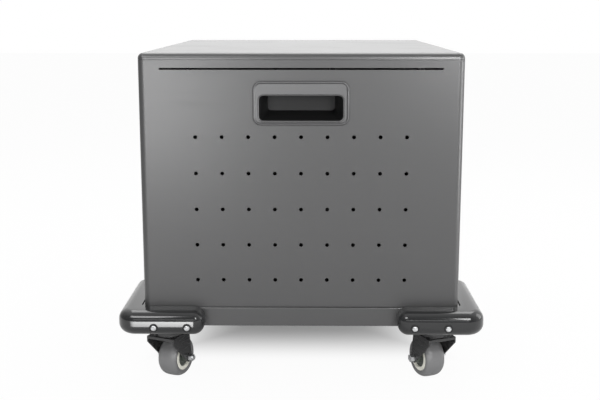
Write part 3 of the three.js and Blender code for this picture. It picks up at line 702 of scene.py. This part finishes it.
class Perforation(NodeTool):
    """Cuts a grid of round holes, and one more cutter, out of a sheet that stands across Y."""

    NAME = "perforated_sheet"
    INPUTS = {"Geometry": "Geometry", "Punch Radius": "Float", "Punch Length": "Float", "Columns": "Int",
              "Rows": "Int", "Width": "Float", "Height": "Float", "Centre": "Vector", "Cutter": "Object",
              "Material": "Material"}
    SIDES = 20
    UPRIGHT = (math.pi / 2, 0.0, 0.0)

    def lay_out(self, graph: Graph, given: Outputs) -> Inputs:
        """Adds the grid of punches and the cut.

        Args:
            graph: The tree's graph.
            given: Its inputs.

        Returns:
            The cut sheet.
        """
        grid = graph.add("GeometryNodeMeshGrid", {
            "Size X": given["Width"], "Size Y": given["Height"],
            "Vertices X": given["Columns"], "Vertices Y": given["Rows"]})
        punch = graph.add("GeometryNodeMeshCylinder", {
            "Radius": given["Punch Radius"], "Depth": given["Punch Length"], "Vertices": self.SIDES})
        copies = graph.add("GeometryNodeInstanceOnPoints", {
            "Points": grid.outputs[0], "Instance": punch.outputs[0]})
        real = graph.add("GeometryNodeRealizeInstances", {"Geometry": copies.outputs[0]})
        placed = graph.add("GeometryNodeTransform", {
            "Geometry": real.outputs[0], "Translation": given["Centre"], "Rotation": self.UPRIGHT})
        cutter = graph.add("GeometryNodeObjectInfo", {"Object": given["Cutter"]})
        cut = graph.add("GeometryNodeMeshBoolean", {0: given["Geometry"], 1: placed.outputs[0]},
                        operation="DIFFERENCE", solver="MANIFOLD")
        graph.feed(cut, {1: cutter.outputs["Geometry"]})
        return {"Geometry": self.end(graph, cut.outputs[0], given["Material"])}


# Small pieces that rows are made of


def domed_head(radius: float, height: float, name: str) -> Object:
    """A domed bolt head around +Z, seated a little below zero.

    Args:
        radius: The head's radius.
        height: The dome's height.
        name: The piece's name.

    Returns:
        The head.
    """
    sink, wall, sides = 0.0008, 0.22, 16
    profile = [(radius, -sink), (radius, height * wall)]
    profile += [(radius * math.cos(a), height * (wall + (1 - wall) * math.sin(a))) for a in (0.45, 0.9, 1.25)]
    turns = [2 * math.pi * i / sides for i in range(sides)]
    rings = [at_level([(r * math.cos(t), r * math.sin(t)) for t in turns], z) for r, z in profile]
    return mesh_object(ring_stack(rings), name, 60.0)


def plate_piece(half: Point, radius: float, low: float, high: float, name: str) -> Object:
    """A rounded plate around +Z with an eased upper edge.

    Args:
        half: Half of its width and of its length.
        radius: Corner radius.
        low: Its underside.
        high: Its face.
        name: The piece's name.

    Returns:
        The plate.
    """
    ease = min(0.0006, radius * 0.4, (high - low) * 0.4)
    levels = ((0.0, low), (0.0, high - ease), (ease * 0.3, high - ease * 0.3), (ease, high))
    rings = [at_level(rounded_rectangle(half[0] - d, half[1] - d, radius - d, 3), z) for d, z in levels]
    return mesh_object(ring_stack(rings), name, 50.0)


# Sub-assemblies


@dataclass
class HandleCup:
    """A moulded handle recess with a raised border and a hollow behind its upper band.

    Sizes are in metres. A section is half its width, its lower and upper level, its corner radius and its
    distance from the cart's middle. A profile's points are a step across the face and a depth behind it.
    """

    rim: tuple[float, float, float, float] = (0.0785, 0.449, 0.521, 0.013)
    grip: tuple[float, float, float, float] = (0.068, 0.457, 0.497, 0.007)
    face: float = 0.334
    inside: tuple[Section, ...] = (
        (0.056, 0.469, 0.5017, 0.006, 0.2875),
        (0.059, 0.4655, 0.5137, 0.006, 0.2995),
        (0.066, 0.4592, 0.5137, 0.006, 0.322),
    )
    mouth: tuple[Point, ...] = (
        (0.0, 0.008), (0.0, 0.0028), (0.0003, 0.0016), (0.0009, 0.0008), (0.0017, 0.0006), (0.0026, 0.0019),
    )
    border: tuple[Point, ...] = (
        (-0.0046, 0.0021), (-0.0034, 0.0009), (-0.0023, 0.0001), (-0.0014, 0.0002), (-0.0006, 0.0009),
        (0.0, 0.0022), (0.0, 0.0038),
    )
    outside: tuple[Section, ...] = (
        (0.0725, 0.4535, 0.5175, 0.008, 0.3302),
        (0.0718, 0.4540, 0.5173, 0.008, 0.322),
        (0.0625, 0.4625, 0.5172, 0.006, 0.2995),
        (0.0595, 0.4655, 0.5052, 0.006, 0.2842),
    )

    def shell(self, side: Side) -> Object:
        """The whole moulding, from the cup's floor over its rim to its outer back.

        Args:
            side: Which end of the cart.

        Returns:
            A closed shell.
        """
        sections = list(self.inside)
        for (half, low, high, corner), profile in ((self.grip, self.mouth), (self.rim, self.border)):
            sections += [(half + d, low - d, high + d, corner + d, self.face - back) for d, back in profile]
        rings = []
        for half, low, high, corner, out in (*sections, *self.outside):
            plan = rounded_rectangle(half, (high - low) / 2, corner, 6)
            rings.append([Vector((x, side.value * out, z + (high + low) / 2)) for x, z in plan])
        return mesh_object(ring_stack(rings), f"handle_cup_{side.name.lower()}_dressed")


@dataclass
class Cabinet:
    """The steel body: tray, end panels with vents and slot, side panels, rim and handles. Sizes in metres."""

    half_width: float = 0.265
    half_length: float = 0.330
    sheet: float = 0.002
    edge_radius: float = 0.011
    return_length: float = 0.034
    guard: float = 0.0006
    low: float = 0.1413
    high: float = 0.5548
    vent_radius: float = 0.00325
    vent_columns: int = 9
    vent_rows: int = 5
    vent_pitch_x: float = 0.0432
    vent_pitch_z: float = 0.0603
    vent_top: float = 0.4295
    punch_length: float = 0.02
    cut_span: Point = (0.325, 0.335)
    slot_half: float = 0.230
    slot_centre: float = 0.5405
    slot_height: float = 0.0032
    slot_rounding: float = 0.98
    handle_half: Point = (0.0735, 0.033)
    handle_corner: float = 0.008
    handle_centre: float = 0.4855
    inlet_half: Point = (0.0132, 0.0282)
    inlet_corner: float = 0.001
    inlet_centre: Point = (0.218, 0.179)
    tray_edge: float = 0.002
    sheet_edge: float = 0.0005

    def sheet_outline(self) -> list[Point]:
        """The bent sheet's plan at the front end.

        Returns:
            A closed outline, outer side first.
        """
        x, y, r, t = self.half_width, -self.half_length, self.edge_radius, self.sheet
        back, flat, turn = y + self.return_length, x - r - self.guard, y + r + self.guard
        left, right = (-x + r, y + r), (x - r, y + r)
        outer = [(-x, back), (-x, turn)] + arc(left, r, 180, 270, 8) + [(-flat, y), (flat, y)]
        outer += arc(right, r, 270, 360, 8) + [(x, turn), (x, back)]
        inner = [(x - t, back), (x - t, turn)] + arc(right, r - t, 360, 270, 8)
        inner += [(flat, y + t), (-flat, y + t)] + arc(left, r - t, 270, 180, 8)
        inner += [(-x + t, turn), (-x + t, back)]
        return outer + inner

    def cutter(self, side: Side) -> Object:
        """The cutter for one end panel's slot, handle and mains inlet.

        Args:
            side: Which end.

        Returns:
            One object with all the cutting blocks.
        """
        half = self.slot_height / 2
        blocks = [((self.slot_half, half), half * self.slot_rounding, 6, (0.0, self.slot_centre)),
                  (self.handle_half, self.handle_corner, 5, (0.0, self.handle_centre))]
        if side is Side.REAR:
            blocks.append((self.inlet_half, self.inlet_corner, 2, self.inlet_centre))
        made = []
        for size, radius, steps, (x, z) in blocks:
            plan = [(px + x, pz + z) for px, pz in rounded_rectangle(*size, radius, steps)]
            ends = [[Vector((px, side.value * y, pz)) for px, pz in plan] for y in self.cut_span]
            made.append(mesh_object(ring_stack(ends), "cutter_block"))
        return joined(made, f"cutter_{side.name.lower()}")

    def end_panel(self, side: Side, tool: Perforation) -> None:
        """Builds one end panel with its vents.

        Args:
            side: Which end.
            tool: The perforation tree.
        """
        label = side.name.lower()
        outline = [(x, y * -side.value) for x, y in self.sheet_outline()]
        shell = ring_stack([at_level(outline, z) for z in (self.low, self.high)])
        panel = mesh_object(shell, f"end_panel_{label}_dressed")
        cutter = self.cutter(side)
        width, height = self.vent_pitch_x * (self.vent_columns - 1), self.vent_pitch_z * (self.vent_rows - 1)
        centre = (0.0, side.value * self.half_length, self.vent_top - height / 2)
        panel = tool.run(panel, Punch_Radius=self.vent_radius, Punch_Length=self.punch_length,
                         Columns=self.vent_columns, Rows=self.vent_rows, Width=width, Height=height,
                         Centre=centre, Cutter=cutter, Material=FINISHES[Slot.BODY].material())
        bpy.data.objects.remove(cutter)
        shade(panel.data, 30.0)
        dress(panel, Slot.BODY, "cabinet", f"end_panel_{label}")

    def build(self) -> None:
        """Builds and dresses the whole body."""
        tool = Perforation()
        for side in Side:
            self.end_panel(side, tool)
            dress(HandleCup().shell(side), Slot.HANDLE, "cabinet", f"handle_cup_{side.name.lower()}")
        soften("base_tray", self.tray_edge, Slot.BODY, "cabinet")
        for node in ("side_panel_left", "side_panel_right"):
            soften(node, self.sheet_edge, Slot.BODY, "cabinet")
        soften("rim_frame", self.sheet_edge, Slot.INNER, "cabinet")


@dataclass
class Lid:
    """The lift-up lid: pan, liner, seal and keeper. Sizes in metres."""

    half_width: float = 0.265
    half_length: float = 0.330
    low: float = 0.5552
    high: float = 0.566
    skin: float = 0.0025
    corner: float = 0.011
    least_corner: float = 0.0015
    top_radius: float = 0.009
    lower_edge: float = 0.0002
    chamfer: float = 0.002
    guard: float = 0.0006
    steps: int = 8
    soft_edge: float = 0.0012
    keeper_edge: float = 0.0006

    def pan(self) -> Object:
        """The lid's outer pan.

        Returns:
            The pan with a rounded upper edge.
        """
        edge, skin, top = self.lower_edge, self.skin, self.top_radius
        ceiling, bend = self.high - skin, self.high - top
        levels = [(skin + self.chamfer, ceiling), (skin, ceiling - self.chamfer), (skin, self.low + edge),
                  (skin - edge, self.low), (edge, self.low), (0.0, self.low + edge)]
        levels += arc((top, bend), top, 180, 90, self.steps)
        levels.append((top + self.guard, self.high))
        rings = []
        for inset, z in levels:
            radius = max(self.corner - inset, self.least_corner)
            plan = rounded_rectangle(self.half_width - inset, self.half_length - inset, radius, self.steps)
            rings.append(at_level(plan, z))
        return mesh_object(ring_stack(rings), "lid_panel_dressed", 35.0)

    def build(self) -> None:
        """Builds and dresses the lid's pieces."""
        dress(self.pan(), Slot.BODY, "lid", "lid_panel")
        soften("lid_liner", self.soft_edge, Slot.INNER, "lid")
        soften("lid_seal", self.soft_edge, Slot.SEAL, "cabinet")
        soften("lid_keeper", self.keeper_edge, Slot.ZINC, "lid")


@dataclass
class Fittings:
    """Hinges, lock, mains inlet, switch and their screws. Sizes in metres."""

    rows: PieceRow
    screw_radius: float = 0.0036
    screw_height: float = 0.0016
    hinge_y: float = 0.200
    leaf_face: float = -0.2676
    leaf_screw_z: float = 0.531
    leaf_screw_pitch: float = 0.022
    inlet_x: float = 0.218
    inlet_screw_z: float = 0.1505
    inlet_screw_pitch: float = 0.057
    sheet_edge: float = 0.0005
    moulded_edge: float = 0.0006
    barrel_edge: float = 0.0008

    def screws(self) -> None:
        """Sets the screws of the hinge leaves and the mains inlet."""
        head = domed_head(self.screw_radius, self.screw_height, "screw_head")
        made = []
        step, facing = Vector((0, self.leaf_screw_pitch, 0)), Vector((-1, 0, 0))
        for sign in (-1, 1):
            start = Vector((self.leaf_face, sign * self.hinge_y - self.leaf_screw_pitch, self.leaf_screw_z))
            made.append(self.rows.row("hinge_screws", head, Slot.ZINC, 3, start, step, facing))
        start = Vector((self.inlet_x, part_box("mains_inlet")[1].y, self.inlet_screw_z))
        step, facing = Vector((0, 0, self.inlet_screw_pitch)), Vector((0, 1, 0))
        made.append(self.rows.row("inlet_screws", head, Slot.ZINC, 2, start, step, facing))
        dress(joined(made, "fitting_screws"), Slot.ZINC, "cabinet")
        bpy.data.objects.remove(head)

    def build(self) -> None:
        """Builds and dresses the fittings."""
        for end in ("front", "rear"):
            soften(f"cabinet_leaf_{end}", self.sheet_edge, Slot.HINGE, "cabinet")
            soften(f"lid_leaf_{end}", self.sheet_edge, Slot.HINGE, "lid")
            soften(f"hinge_pin_{end}", self.moulded_edge, Slot.ZINC, "cabinet")
        soften("lock_barrel", self.barrel_edge, Slot.ZINC, "cabinet")
        soften("lock_cam", self.sheet_edge, Slot.ZINC, "lock")
        soften("mains_inlet", self.moulded_edge, Slot.BLACK, "cabinet")
        soften("rocker_switch", self.moulded_edge, Slot.BLACK, "switch")
        self.screws()


@dataclass
class Interior:
    """Shelf, dividers, charger bay wall and outlet strip. Sizes in metres."""

    rows: PieceRow
    dividers: int = 11
    outlets: int = 12
    outlet_pitch: float = 0.048
    outlet_half: float = 0.019
    outlet_corner: float = 0.004
    outlet_levels: Point = (-0.0005, 0.0016)
    # Sizes and places of the slots, drawn as black plates of painted shade.
    slot_half: Point = (0.0011, 0.0042)
    slot_corner: float = 0.0008
    slot_levels: Point = (0.0002, 0.0019)
    slot_places: tuple[Point, ...] = ((-0.0065, 0.004), (0.0065, 0.004), (0.0, -0.008))
    strip_edge: float = 0.0015
    strip_steps: int = 3

    def outlets_row(self) -> None:
        """Sets the outlet plates on the strip's face, each slot a thin black plate of painted shade in place
        of a hole.
        """
        low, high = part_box("power_strip")
        first = Vector((high.x, -self.outlet_pitch * (self.outlets - 1) / 2, (low.z + high.z) / 2))
        step, facing = Vector((0, self.outlet_pitch, 0)), Vector((1, 0, 0))
        half = (self.outlet_half, self.outlet_half)
        plate = plate_piece(half, self.outlet_corner, *self.outlet_levels, "outlet_plate")
        made = self.rows.row("outlet_plates", plate, Slot.INNER, self.outlets, first, step, facing)
        dress(made, Slot.INNER, "cabinet")
        # The slots are not cut: each is a black plate on the outlet's face, painted shade standing in for the
        # hole.
        slot = plate_piece(self.slot_half, self.slot_corner, *self.slot_levels, "outlet_slot")
        slots = []
        for y, z in self.slot_places:
            start = first + Vector((0, y, z))
            slots.append(self.rows.row("outlet_slots", slot, Slot.BLACK, self.outlets, start, step, facing))
        dress(joined(slots, "outlet_slots"), Slot.BLACK, "cabinet")
        for piece in (plate, slot):
            bpy.data.objects.remove(piece)

    def build(self) -> None:
        """Dresses the inside."""
        dividers = [f"divider_{number:02d}" for number in range(1, self.dividers + 1)]
        for node in ("device_shelf", *dividers, "charger_partition"):
            paint_node(node, Slot.INNER)
        soften("power_strip", self.strip_edge, Slot.BLACK, "cabinet", self.strip_steps)
        self.outlets_row()


@dataclass
class Bumpers:
    """The round-nosed corner bumpers and their bolts. Sizes in metres."""

    rows: PieceRow
    out_x: float = 0.305
    out_y: float = 0.370
    in_x: float = 0.2693
    in_y: float = 0.3343
    in_corner: float = 0.0123
    front_end: float = 0.161
    side_end: float = 0.162
    low: float = 0.102
    high: float = 0.143
    nose: float = 0.017
    nose_steps: int = 12
    corner: float = 0.030
    end_radius: float = 0.018
    bolt_x: Point = (0.188, 0.243)
    bolt_y: Point = (0.253, 0.308)
    bolt_z: float = 0.117
    bolt_radius: float = 0.0048
    bolt_height: float = 0.0030
    # Profile of the black ring of painted shade round each bolt head.
    seat_profile: tuple[Point, ...] = (
        (0.0046, -0.001), (0.0074, -0.001), (0.0074, 0.00035), (0.00705, 0.0007), (0.0046, 0.0007),
    )

    def plan(self, inset: float, corner: Corner) -> list[Point]:
        """Plan outline at one level.

        Args:
            inset: How far the outer side draws in there.
            corner: Which corner of the cart.

        Returns:
            The outline, drawn in the corner's own quarter.
        """
        x, y, d = self.out_x, self.out_y, inset
        r, e, c = self.corner, self.end_radius, self.in_corner
        path = [(self.in_x, self.side_end + d)]
        path += arc((x - e, self.side_end + e), e - d, 270, 360, 8)
        path += arc((x - r, y - r), r - d, 0, 90, 12)
        path += arc((self.front_end + e, y - e), e - d, 90, 180, 8)
        path += [(self.front_end + d, self.in_y)]
        path += arc((self.in_x - c, self.in_y - c), c, 90, 0, 6)
        sx, sy = corner.value
        return [(px * sx, py * sy) for px, py in path]

    def shell(self, corner: Corner) -> Object:
        """One bumper with its half-round nose.

        Args:
            corner: Which corner of the cart.

        Returns:
            The bumper.
        """
        r = self.nose
        levels = arc((r, self.low + r), r, 270, 180, self.nose_steps)
        levels += arc((r, self.high - r), r, 180, 90, self.nose_steps)
        rings = [at_level(self.plan(d, corner), z) for d, z in levels]
        return mesh_object(ring_stack(rings), f"bumper_{corner.label}_dressed")

    def bolt_rows(self) -> None:
        """Sets the domed bolts on every bumper, each with a black ring of painted shade round its head."""
        head = domed_head(self.bolt_radius, self.bolt_height, "bumper_bolt_head")
        # A thin black ring round each head paints the shade where the head sits in the bumper.
        ring = lathe(self.seat_profile, Vector(), Vector((0, 0, 1)), 20)
        shade_ring = mesh_object(ring, "bumper_bolt_seat", 50.0)
        tilt = math.asin((self.low + self.nose - self.bolt_z) / self.nose)
        out, down = math.cos(tilt), -math.sin(tilt)
        inset = self.nose * (1 - out)
        (x0, x1), (y0, y1) = self.bolt_x, self.bolt_y
        heads, shade_rings = [], []
        for corner in Corner:
            sx, sy = corner.value
            arms = (((x0, self.out_y - inset, 0), (x1 - x0, 0, 0), (0, out, 0)),
                    ((self.out_x - inset, y0, 0), (0, y1 - y0, 0), (out, 0, 0)))
            for place, way, look in arms:
                start, step, facing = (Vector((sx * v[0], sy * v[1], v[2])) for v in (place, way, look))
                start.z, facing.z = self.bolt_z, down
                heads.append(self.rows.row("bolt_heads", head, Slot.ZINC, 2, start, step, facing))
                shade_rings.append(self.rows.row("bolt_seats", shade_ring, Slot.BLACK, 2, start, step, facing))
        dress(joined(heads, "bumper_bolt_heads"), Slot.ZINC, "cabinet")
        dress(joined(shade_rings, "bumper_bolt_seats"), Slot.BLACK, "cabinet")
        for piece in (head, shade_ring):
            bpy.data.objects.remove(piece)

    def build(self) -> None:
        """Builds and dresses the bumpers."""
        for corner in Corner:
            dress(self.shell(corner), Slot.BUMPER, "cabinet", f"bumper_{corner.label}")
        self.bolt_rows()


@dataclass
class Castors:
    """The four swivel castors. Sizes in metres."""

    rows: PieceRow
    wheel_x: float = 0.2206225
    wheel_y: float = 0.2759079
    trail: Point = (0.3907311, 0.9205049)
    swivel_x: float = 0.230
    swivel_y: float = 0.298
    radius: float = 0.035
    width: float = 0.036
    rim_radius: float = 0.024
    rim_band: float = 0.0066
    face_drop: float = 0.001
    tread_gap: float = 0.0002
    tread_drop: float = 0.0065
    tread_crown: float = 0.0052
    tread_power: float = 4.0
    tread_foot: float = 0.92
    tread_stations: tuple[float, ...] = (0.15, 0.38, 0.58, 0.75, 0.88, 0.97)
    boss_height: float = 0.0055
    bolt_radius: float = 0.0055
    bolt_height: float = 0.0034
    bolt_reach: float = 0.0245
    bolt_z: float = 0.1057
    edge: float = 0.0006
    segments: int = 64

    def turned(self, half_profile: Sequence[Point], corner: Corner, name: str) -> Object:
        """Turns a profile and its mirror image around a wheel's axle.

        Args:
            half_profile: (radius, place along the axle) points on one side of the wheel.
            corner: Which corner of the cart.
            name: The piece's name.

        Returns:
            The turned piece.
        """
        sx, sy = corner.value
        profile = [(r, -t) for r, t in half_profile] + [(r, t) for r, t in reversed(half_profile)]
        centre = Vector((sx * self.wheel_x, sy * self.wheel_y, self.radius))
        axis = Vector((sy * self.trail[1], -sx * self.trail[0], 0)).normalized()
        return mesh_object(lathe(profile, centre, axis, self.segments), name, 35.0)

    def profiles(self) -> dict[str, list[Point]]:
        """Half profiles of a wheel's pieces.

        Returns:
            (radius, place along the axle) points of the crowned tyre, the rim's pale ring and the dark hub.
        """
        half, outer, band = self.width / 2, self.rim_radius, self.rim_radius - self.rim_band
        face, boss = half - self.face_drop, half + self.boss_height
        tyre = [(outer + self.tread_gap, half * self.tread_foot), (self.radius - self.tread_drop, half)]
        for u in reversed(self.tread_stations):
            tyre.append((self.radius - self.tread_crown * u ** self.tread_power, u * half))
        rim = [(band - 0.0002, face - 0.0026), (band + 0.0001, face - 0.0005), (band + 0.0007, face),
               (outer - 0.0007, face), (outer, face - 0.0007)]
        hub = [(0.0042, boss), (0.0082, boss), (0.0089, boss - 0.0007), (0.0093, face - 0.0022),
               (0.0110, face - 0.0030), (band - 0.0012, face - 0.0032), (band - 0.0001, face - 0.0026)]
        return {"tyre": tyre, "rim": rim, "hub": hub}

    def build(self) -> None:
        """Builds and dresses the castors and the bolts of their plates."""
        head = domed_head(self.bolt_radius, self.bolt_height, "plate_bolt_head")
        reach, profiles = self.bolt_reach, self.profiles()
        step, down = Vector((0, 2 * reach, 0)), Vector((0, 0, -1))
        bolts = []
        for corner in Corner:
            label, (sx, sy) = corner.label, corner.value
            wheel, swivel = f"wheel_{label}", f"swivel_{label}"
            for part, slot in (("tyre", Slot.TREAD), ("rim", Slot.WHEEL)):
                node = f"castor_{part}_{label}"
                dress(self.turned(profiles[part], corner, f"{node}_dressed"), slot, wheel, node)
            hub = self.turned(profiles["hub"], corner, f"castor_hub_{label}")
            dress(hub, Slot.BLACK, wheel, finish=HUB_FINISH)
            soften(f"castor_fork_{label}", self.edge, Slot.FORK, swivel)
            soften(f"castor_axle_{label}", self.edge, Slot.ZINC, swivel)
            soften(f"castor_plate_{label}", self.edge, Slot.ZINC, "cabinet")
            for side in (-reach, reach):
                start = Vector((sx * self.swivel_x + side, sy * self.swivel_y - reach, self.bolt_z))
                bolts.append(self.rows.row("plate_bolts", head, Slot.ZINC, 2, start, step, down))
        dress(joined(bolts, "castor_plate_bolts"), Slot.ZINC, "cabinet")
        bpy.data.objects.remove(head)


# Studio


@dataclass(frozen=True)
class Lamp:
    """A soft rectangular lamp, in metres, watts and degrees.

    Where lit names the beginnings of pieces' names, it lights only those.
    """

    name: str
    place: Triple
    aim: Triple
    size: Point
    power: float
    lit: tuple[str, ...] = ()
    diffuse: bool = True
    spread: float = 180.0

    def build(self) -> None:
        """Adds the lamp to the scene."""
        data = bpy.data.lights.new(self.name, "AREA")
        data.shape = "RECTANGLE"
        data.size, data.size_y = self.size
        data.energy = self.power
        data.spread = math.radians(self.spread)
        lamp = bpy.data.objects.new(self.name, data)
        lamp.location = self.place
        lamp.rotation_euler = (Vector(self.aim) - Vector(self.place)).to_track_quat("-Z", "Y").to_euler()
        lamp.visible_camera = False
        lamp.visible_diffuse = self.diffuse
        bpy.context.scene.collection.objects.link(lamp)
        if self.lit:
            group = bpy.data.collections.new(f"{self.name}_objects")
            for item in bpy.data.objects:
                if item.type == "MESH" and not item.hide_render and item.name.startswith(self.lit):
                    group.objects.link(item)
            lamp.light_linking.receiver_collection = group


CASTORS = ("castor_",)
BUMPERS = ("bumper_front", "bumper_rear")
SHEETS = ("end_panel", "side_panel", "lid_panel", "base_tray", "handle_cup")
LAMPS = (
    Lamp("key_softbox", (-1.0, -1.9, 1.95), (-0.1, -0.3, 0.5), (1.1, 0.8), 17.0),
    Lamp("fill_softbox", (0.85, -1.9, 1.2), (0.25, -0.3, 0.5), (0.45, 0.6), 10.0),
    Lamp("top_softbox", (0.1, 0.9, 2.2), (0.0, 0.0, 0.4), (2.4, 1.6), 33.0),
    Lamp("side_softbox", (2.0, 0.1, 0.9), (0.2, -0.25, 0.35), (0.9, 1.3), 7.0),
    Lamp("castor_shine", (0.0, -1.7, 0.32), (0.0, -0.3, 0.05), (2.2, 0.25), 9.0, CASTORS),
    Lamp("table_shine", (-0.33, -0.64, 0.045), (-0.28, 0.0, 0.11), (0.36, 0.10), 0.23, BUMPERS, False, 70.0),
    Lamp("strip_shine", (0.0, -1.87, 0.56), (0.0, -0.37, 0.15), (1.5, 0.10), 1.7, BUMPERS, False),
    Lamp("top_sheen", (0.0, 2.4, 0.75), (0.0, 0.0, 0.56), (3.0, 0.8), 6.0, SHEETS, False),
    Lamp("edge_sheen", (1.8, -0.85, 0.25), (0.25, -0.32, 0.35), (0.7, 1.0), 17.0, SHEETS, False),
    Lamp("left_sheen", (-0.56, -1.75, 0.50), (-0.2, -0.33, 0.40), (0.5, 0.7), 10.0, SHEETS, False),
    Lamp("right_sheen", (0.72, -1.75, 0.80), (0.2, -0.33, 0.5), (0.3, 0.5), 14.0, SHEETS, False),
)


@dataclass
class Studio:
    """Pale floor, soft light and the camera. Sizes in metres, angles in degrees, lens and sensor in mm."""

    place: Triple = (0.0137, -1.8222, 0.6342)
    pitch: float = 9.844
    yaw: float = 0.592
    lens: float = 55.37
    sensor: float = 36.0
    shift: float = -0.05
    clip_start: float = 0.05
    ambient: float = 0.46
    front_range: Point = (-0.75, 0.1)
    left_range: Point = (-0.95, -0.5)
    room_levels: Point = (0.3, 1.0)
    floor_reach: float = 12.0
    footprint: Triple = (0.44, 0.36, 0.0)
    fade_range: Point = (-0.33, -0.14)
    fade_levels: Point = (0.22, 0.96)

    def camera(self) -> None:
        """Sets the camera at the photograph's viewing angle."""
        data = bpy.data.cameras.new("camera")
        data.lens = self.lens
        data.sensor_width = self.sensor
        data.shift_y = self.shift
        data.clip_start = self.clip_start
        camera = bpy.data.objects.new("camera", data)
        camera.location = self.place
        camera.rotation_euler = Euler((math.radians(90 - self.pitch), 0, math.radians(self.yaw)))
        bpy.context.scene.collection.objects.link(camera)
        bpy.context.scene.camera = camera

    def world(self) -> None:
        """A white surround, dimmer as a light than as a background."""
        world = bpy.data.worlds.new("studio")
        bpy.context.scene.world = world
        world.use_nodes = True
        graph = Graph(world.node_tree)
        rays = graph.add("ShaderNodeLightPath").outputs
        parts = graph.split(graph.place("Generated"))
        front = graph.remap(parts["Y"], self.front_range, self.room_levels)
        left = graph.remap(parts["X"], self.left_range, self.room_levels)
        level = graph.mix(rays["Is Glossy Ray"], self.ambient, graph.math("MULTIPLY", front, left))
        seen = graph.math("MAXIMUM", rays["Is Camera Ray"], rays["Is Transmission Ray"])
        strength = graph.mix(seen, level, 1.0)
        graph.feed(graph.tree.nodes["Background"], {"Color": (1, 1, 1, 1), "Strength": strength})

    def floor(self) -> None:
        """A white floor that keeps the shadow near the cart and fades into the background."""
        draft = bmesh.new()
        signs = ((-1, -1), (1, -1), (1, 1), (-1, 1))
        draft.faces.new([draft.verts.new((x * self.floor_reach, y * self.floor_reach, 0)) for x, y in signs])
        floor = mesh_object(draft, "floor")
        material = bpy.data.materials.new("pale_floor")
        material.use_nodes = True
        graph = Graph(material.node_tree)
        nodes = graph.tree.nodes
        shader = nodes["Principled BSDF"]
        graph.feed(shader, {"Base Color": (0.9, 0.9, 0.9, 1), "Roughness": 0.85, "Specular IOR Level": 0.1})
        past = graph.split(graph.vector("SUBTRACT", graph.vector("ABSOLUTE", graph.place()), self.footprint))
        outside = graph.math("MAXIMUM", past["X"], past["Y"])
        fade = graph.remap(outside, self.fade_range, self.fade_levels, "SMOOTHSTEP")
        rays = graph.add("ShaderNodeLightPath").outputs
        seen = graph.math("MULTIPLY", fade, rays["Is Camera Ray"])
        glow = graph.add("ShaderNodeEmission")
        mix = graph.add("ShaderNodeMixShader", {"Fac": seen, 1: shader.outputs[0], 2: glow.outputs[0]})
        graph.feed(nodes["Material Output"], {"Surface": mix.outputs[0]})
        floor.data.materials.append(material)
        floor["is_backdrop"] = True

    def build(self) -> None:
        """Sets up camera, world, floor and lamps."""
        bpy.context.scene.view_settings.view_transform = "Standard"
        self.camera()
        self.world()
        self.floor()
        for lamp in LAMPS:
            lamp.build()


def main() -> None:
    """Builds the cart's sub-assemblies in order, then the studio."""
    logging.basicConfig(level=logging.INFO, format="%(name)s: %(message)s")
    cad = tuple(p.copy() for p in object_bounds())
    rows = PieceRow()
    Cabinet().build()
    Lid().build()
    Fittings(rows).build()
    Interior(rows).build()
    Bumpers(rows).build()
    Castors(rows).build()
    Studio().build()


if __name__ == "__main__":
    main()
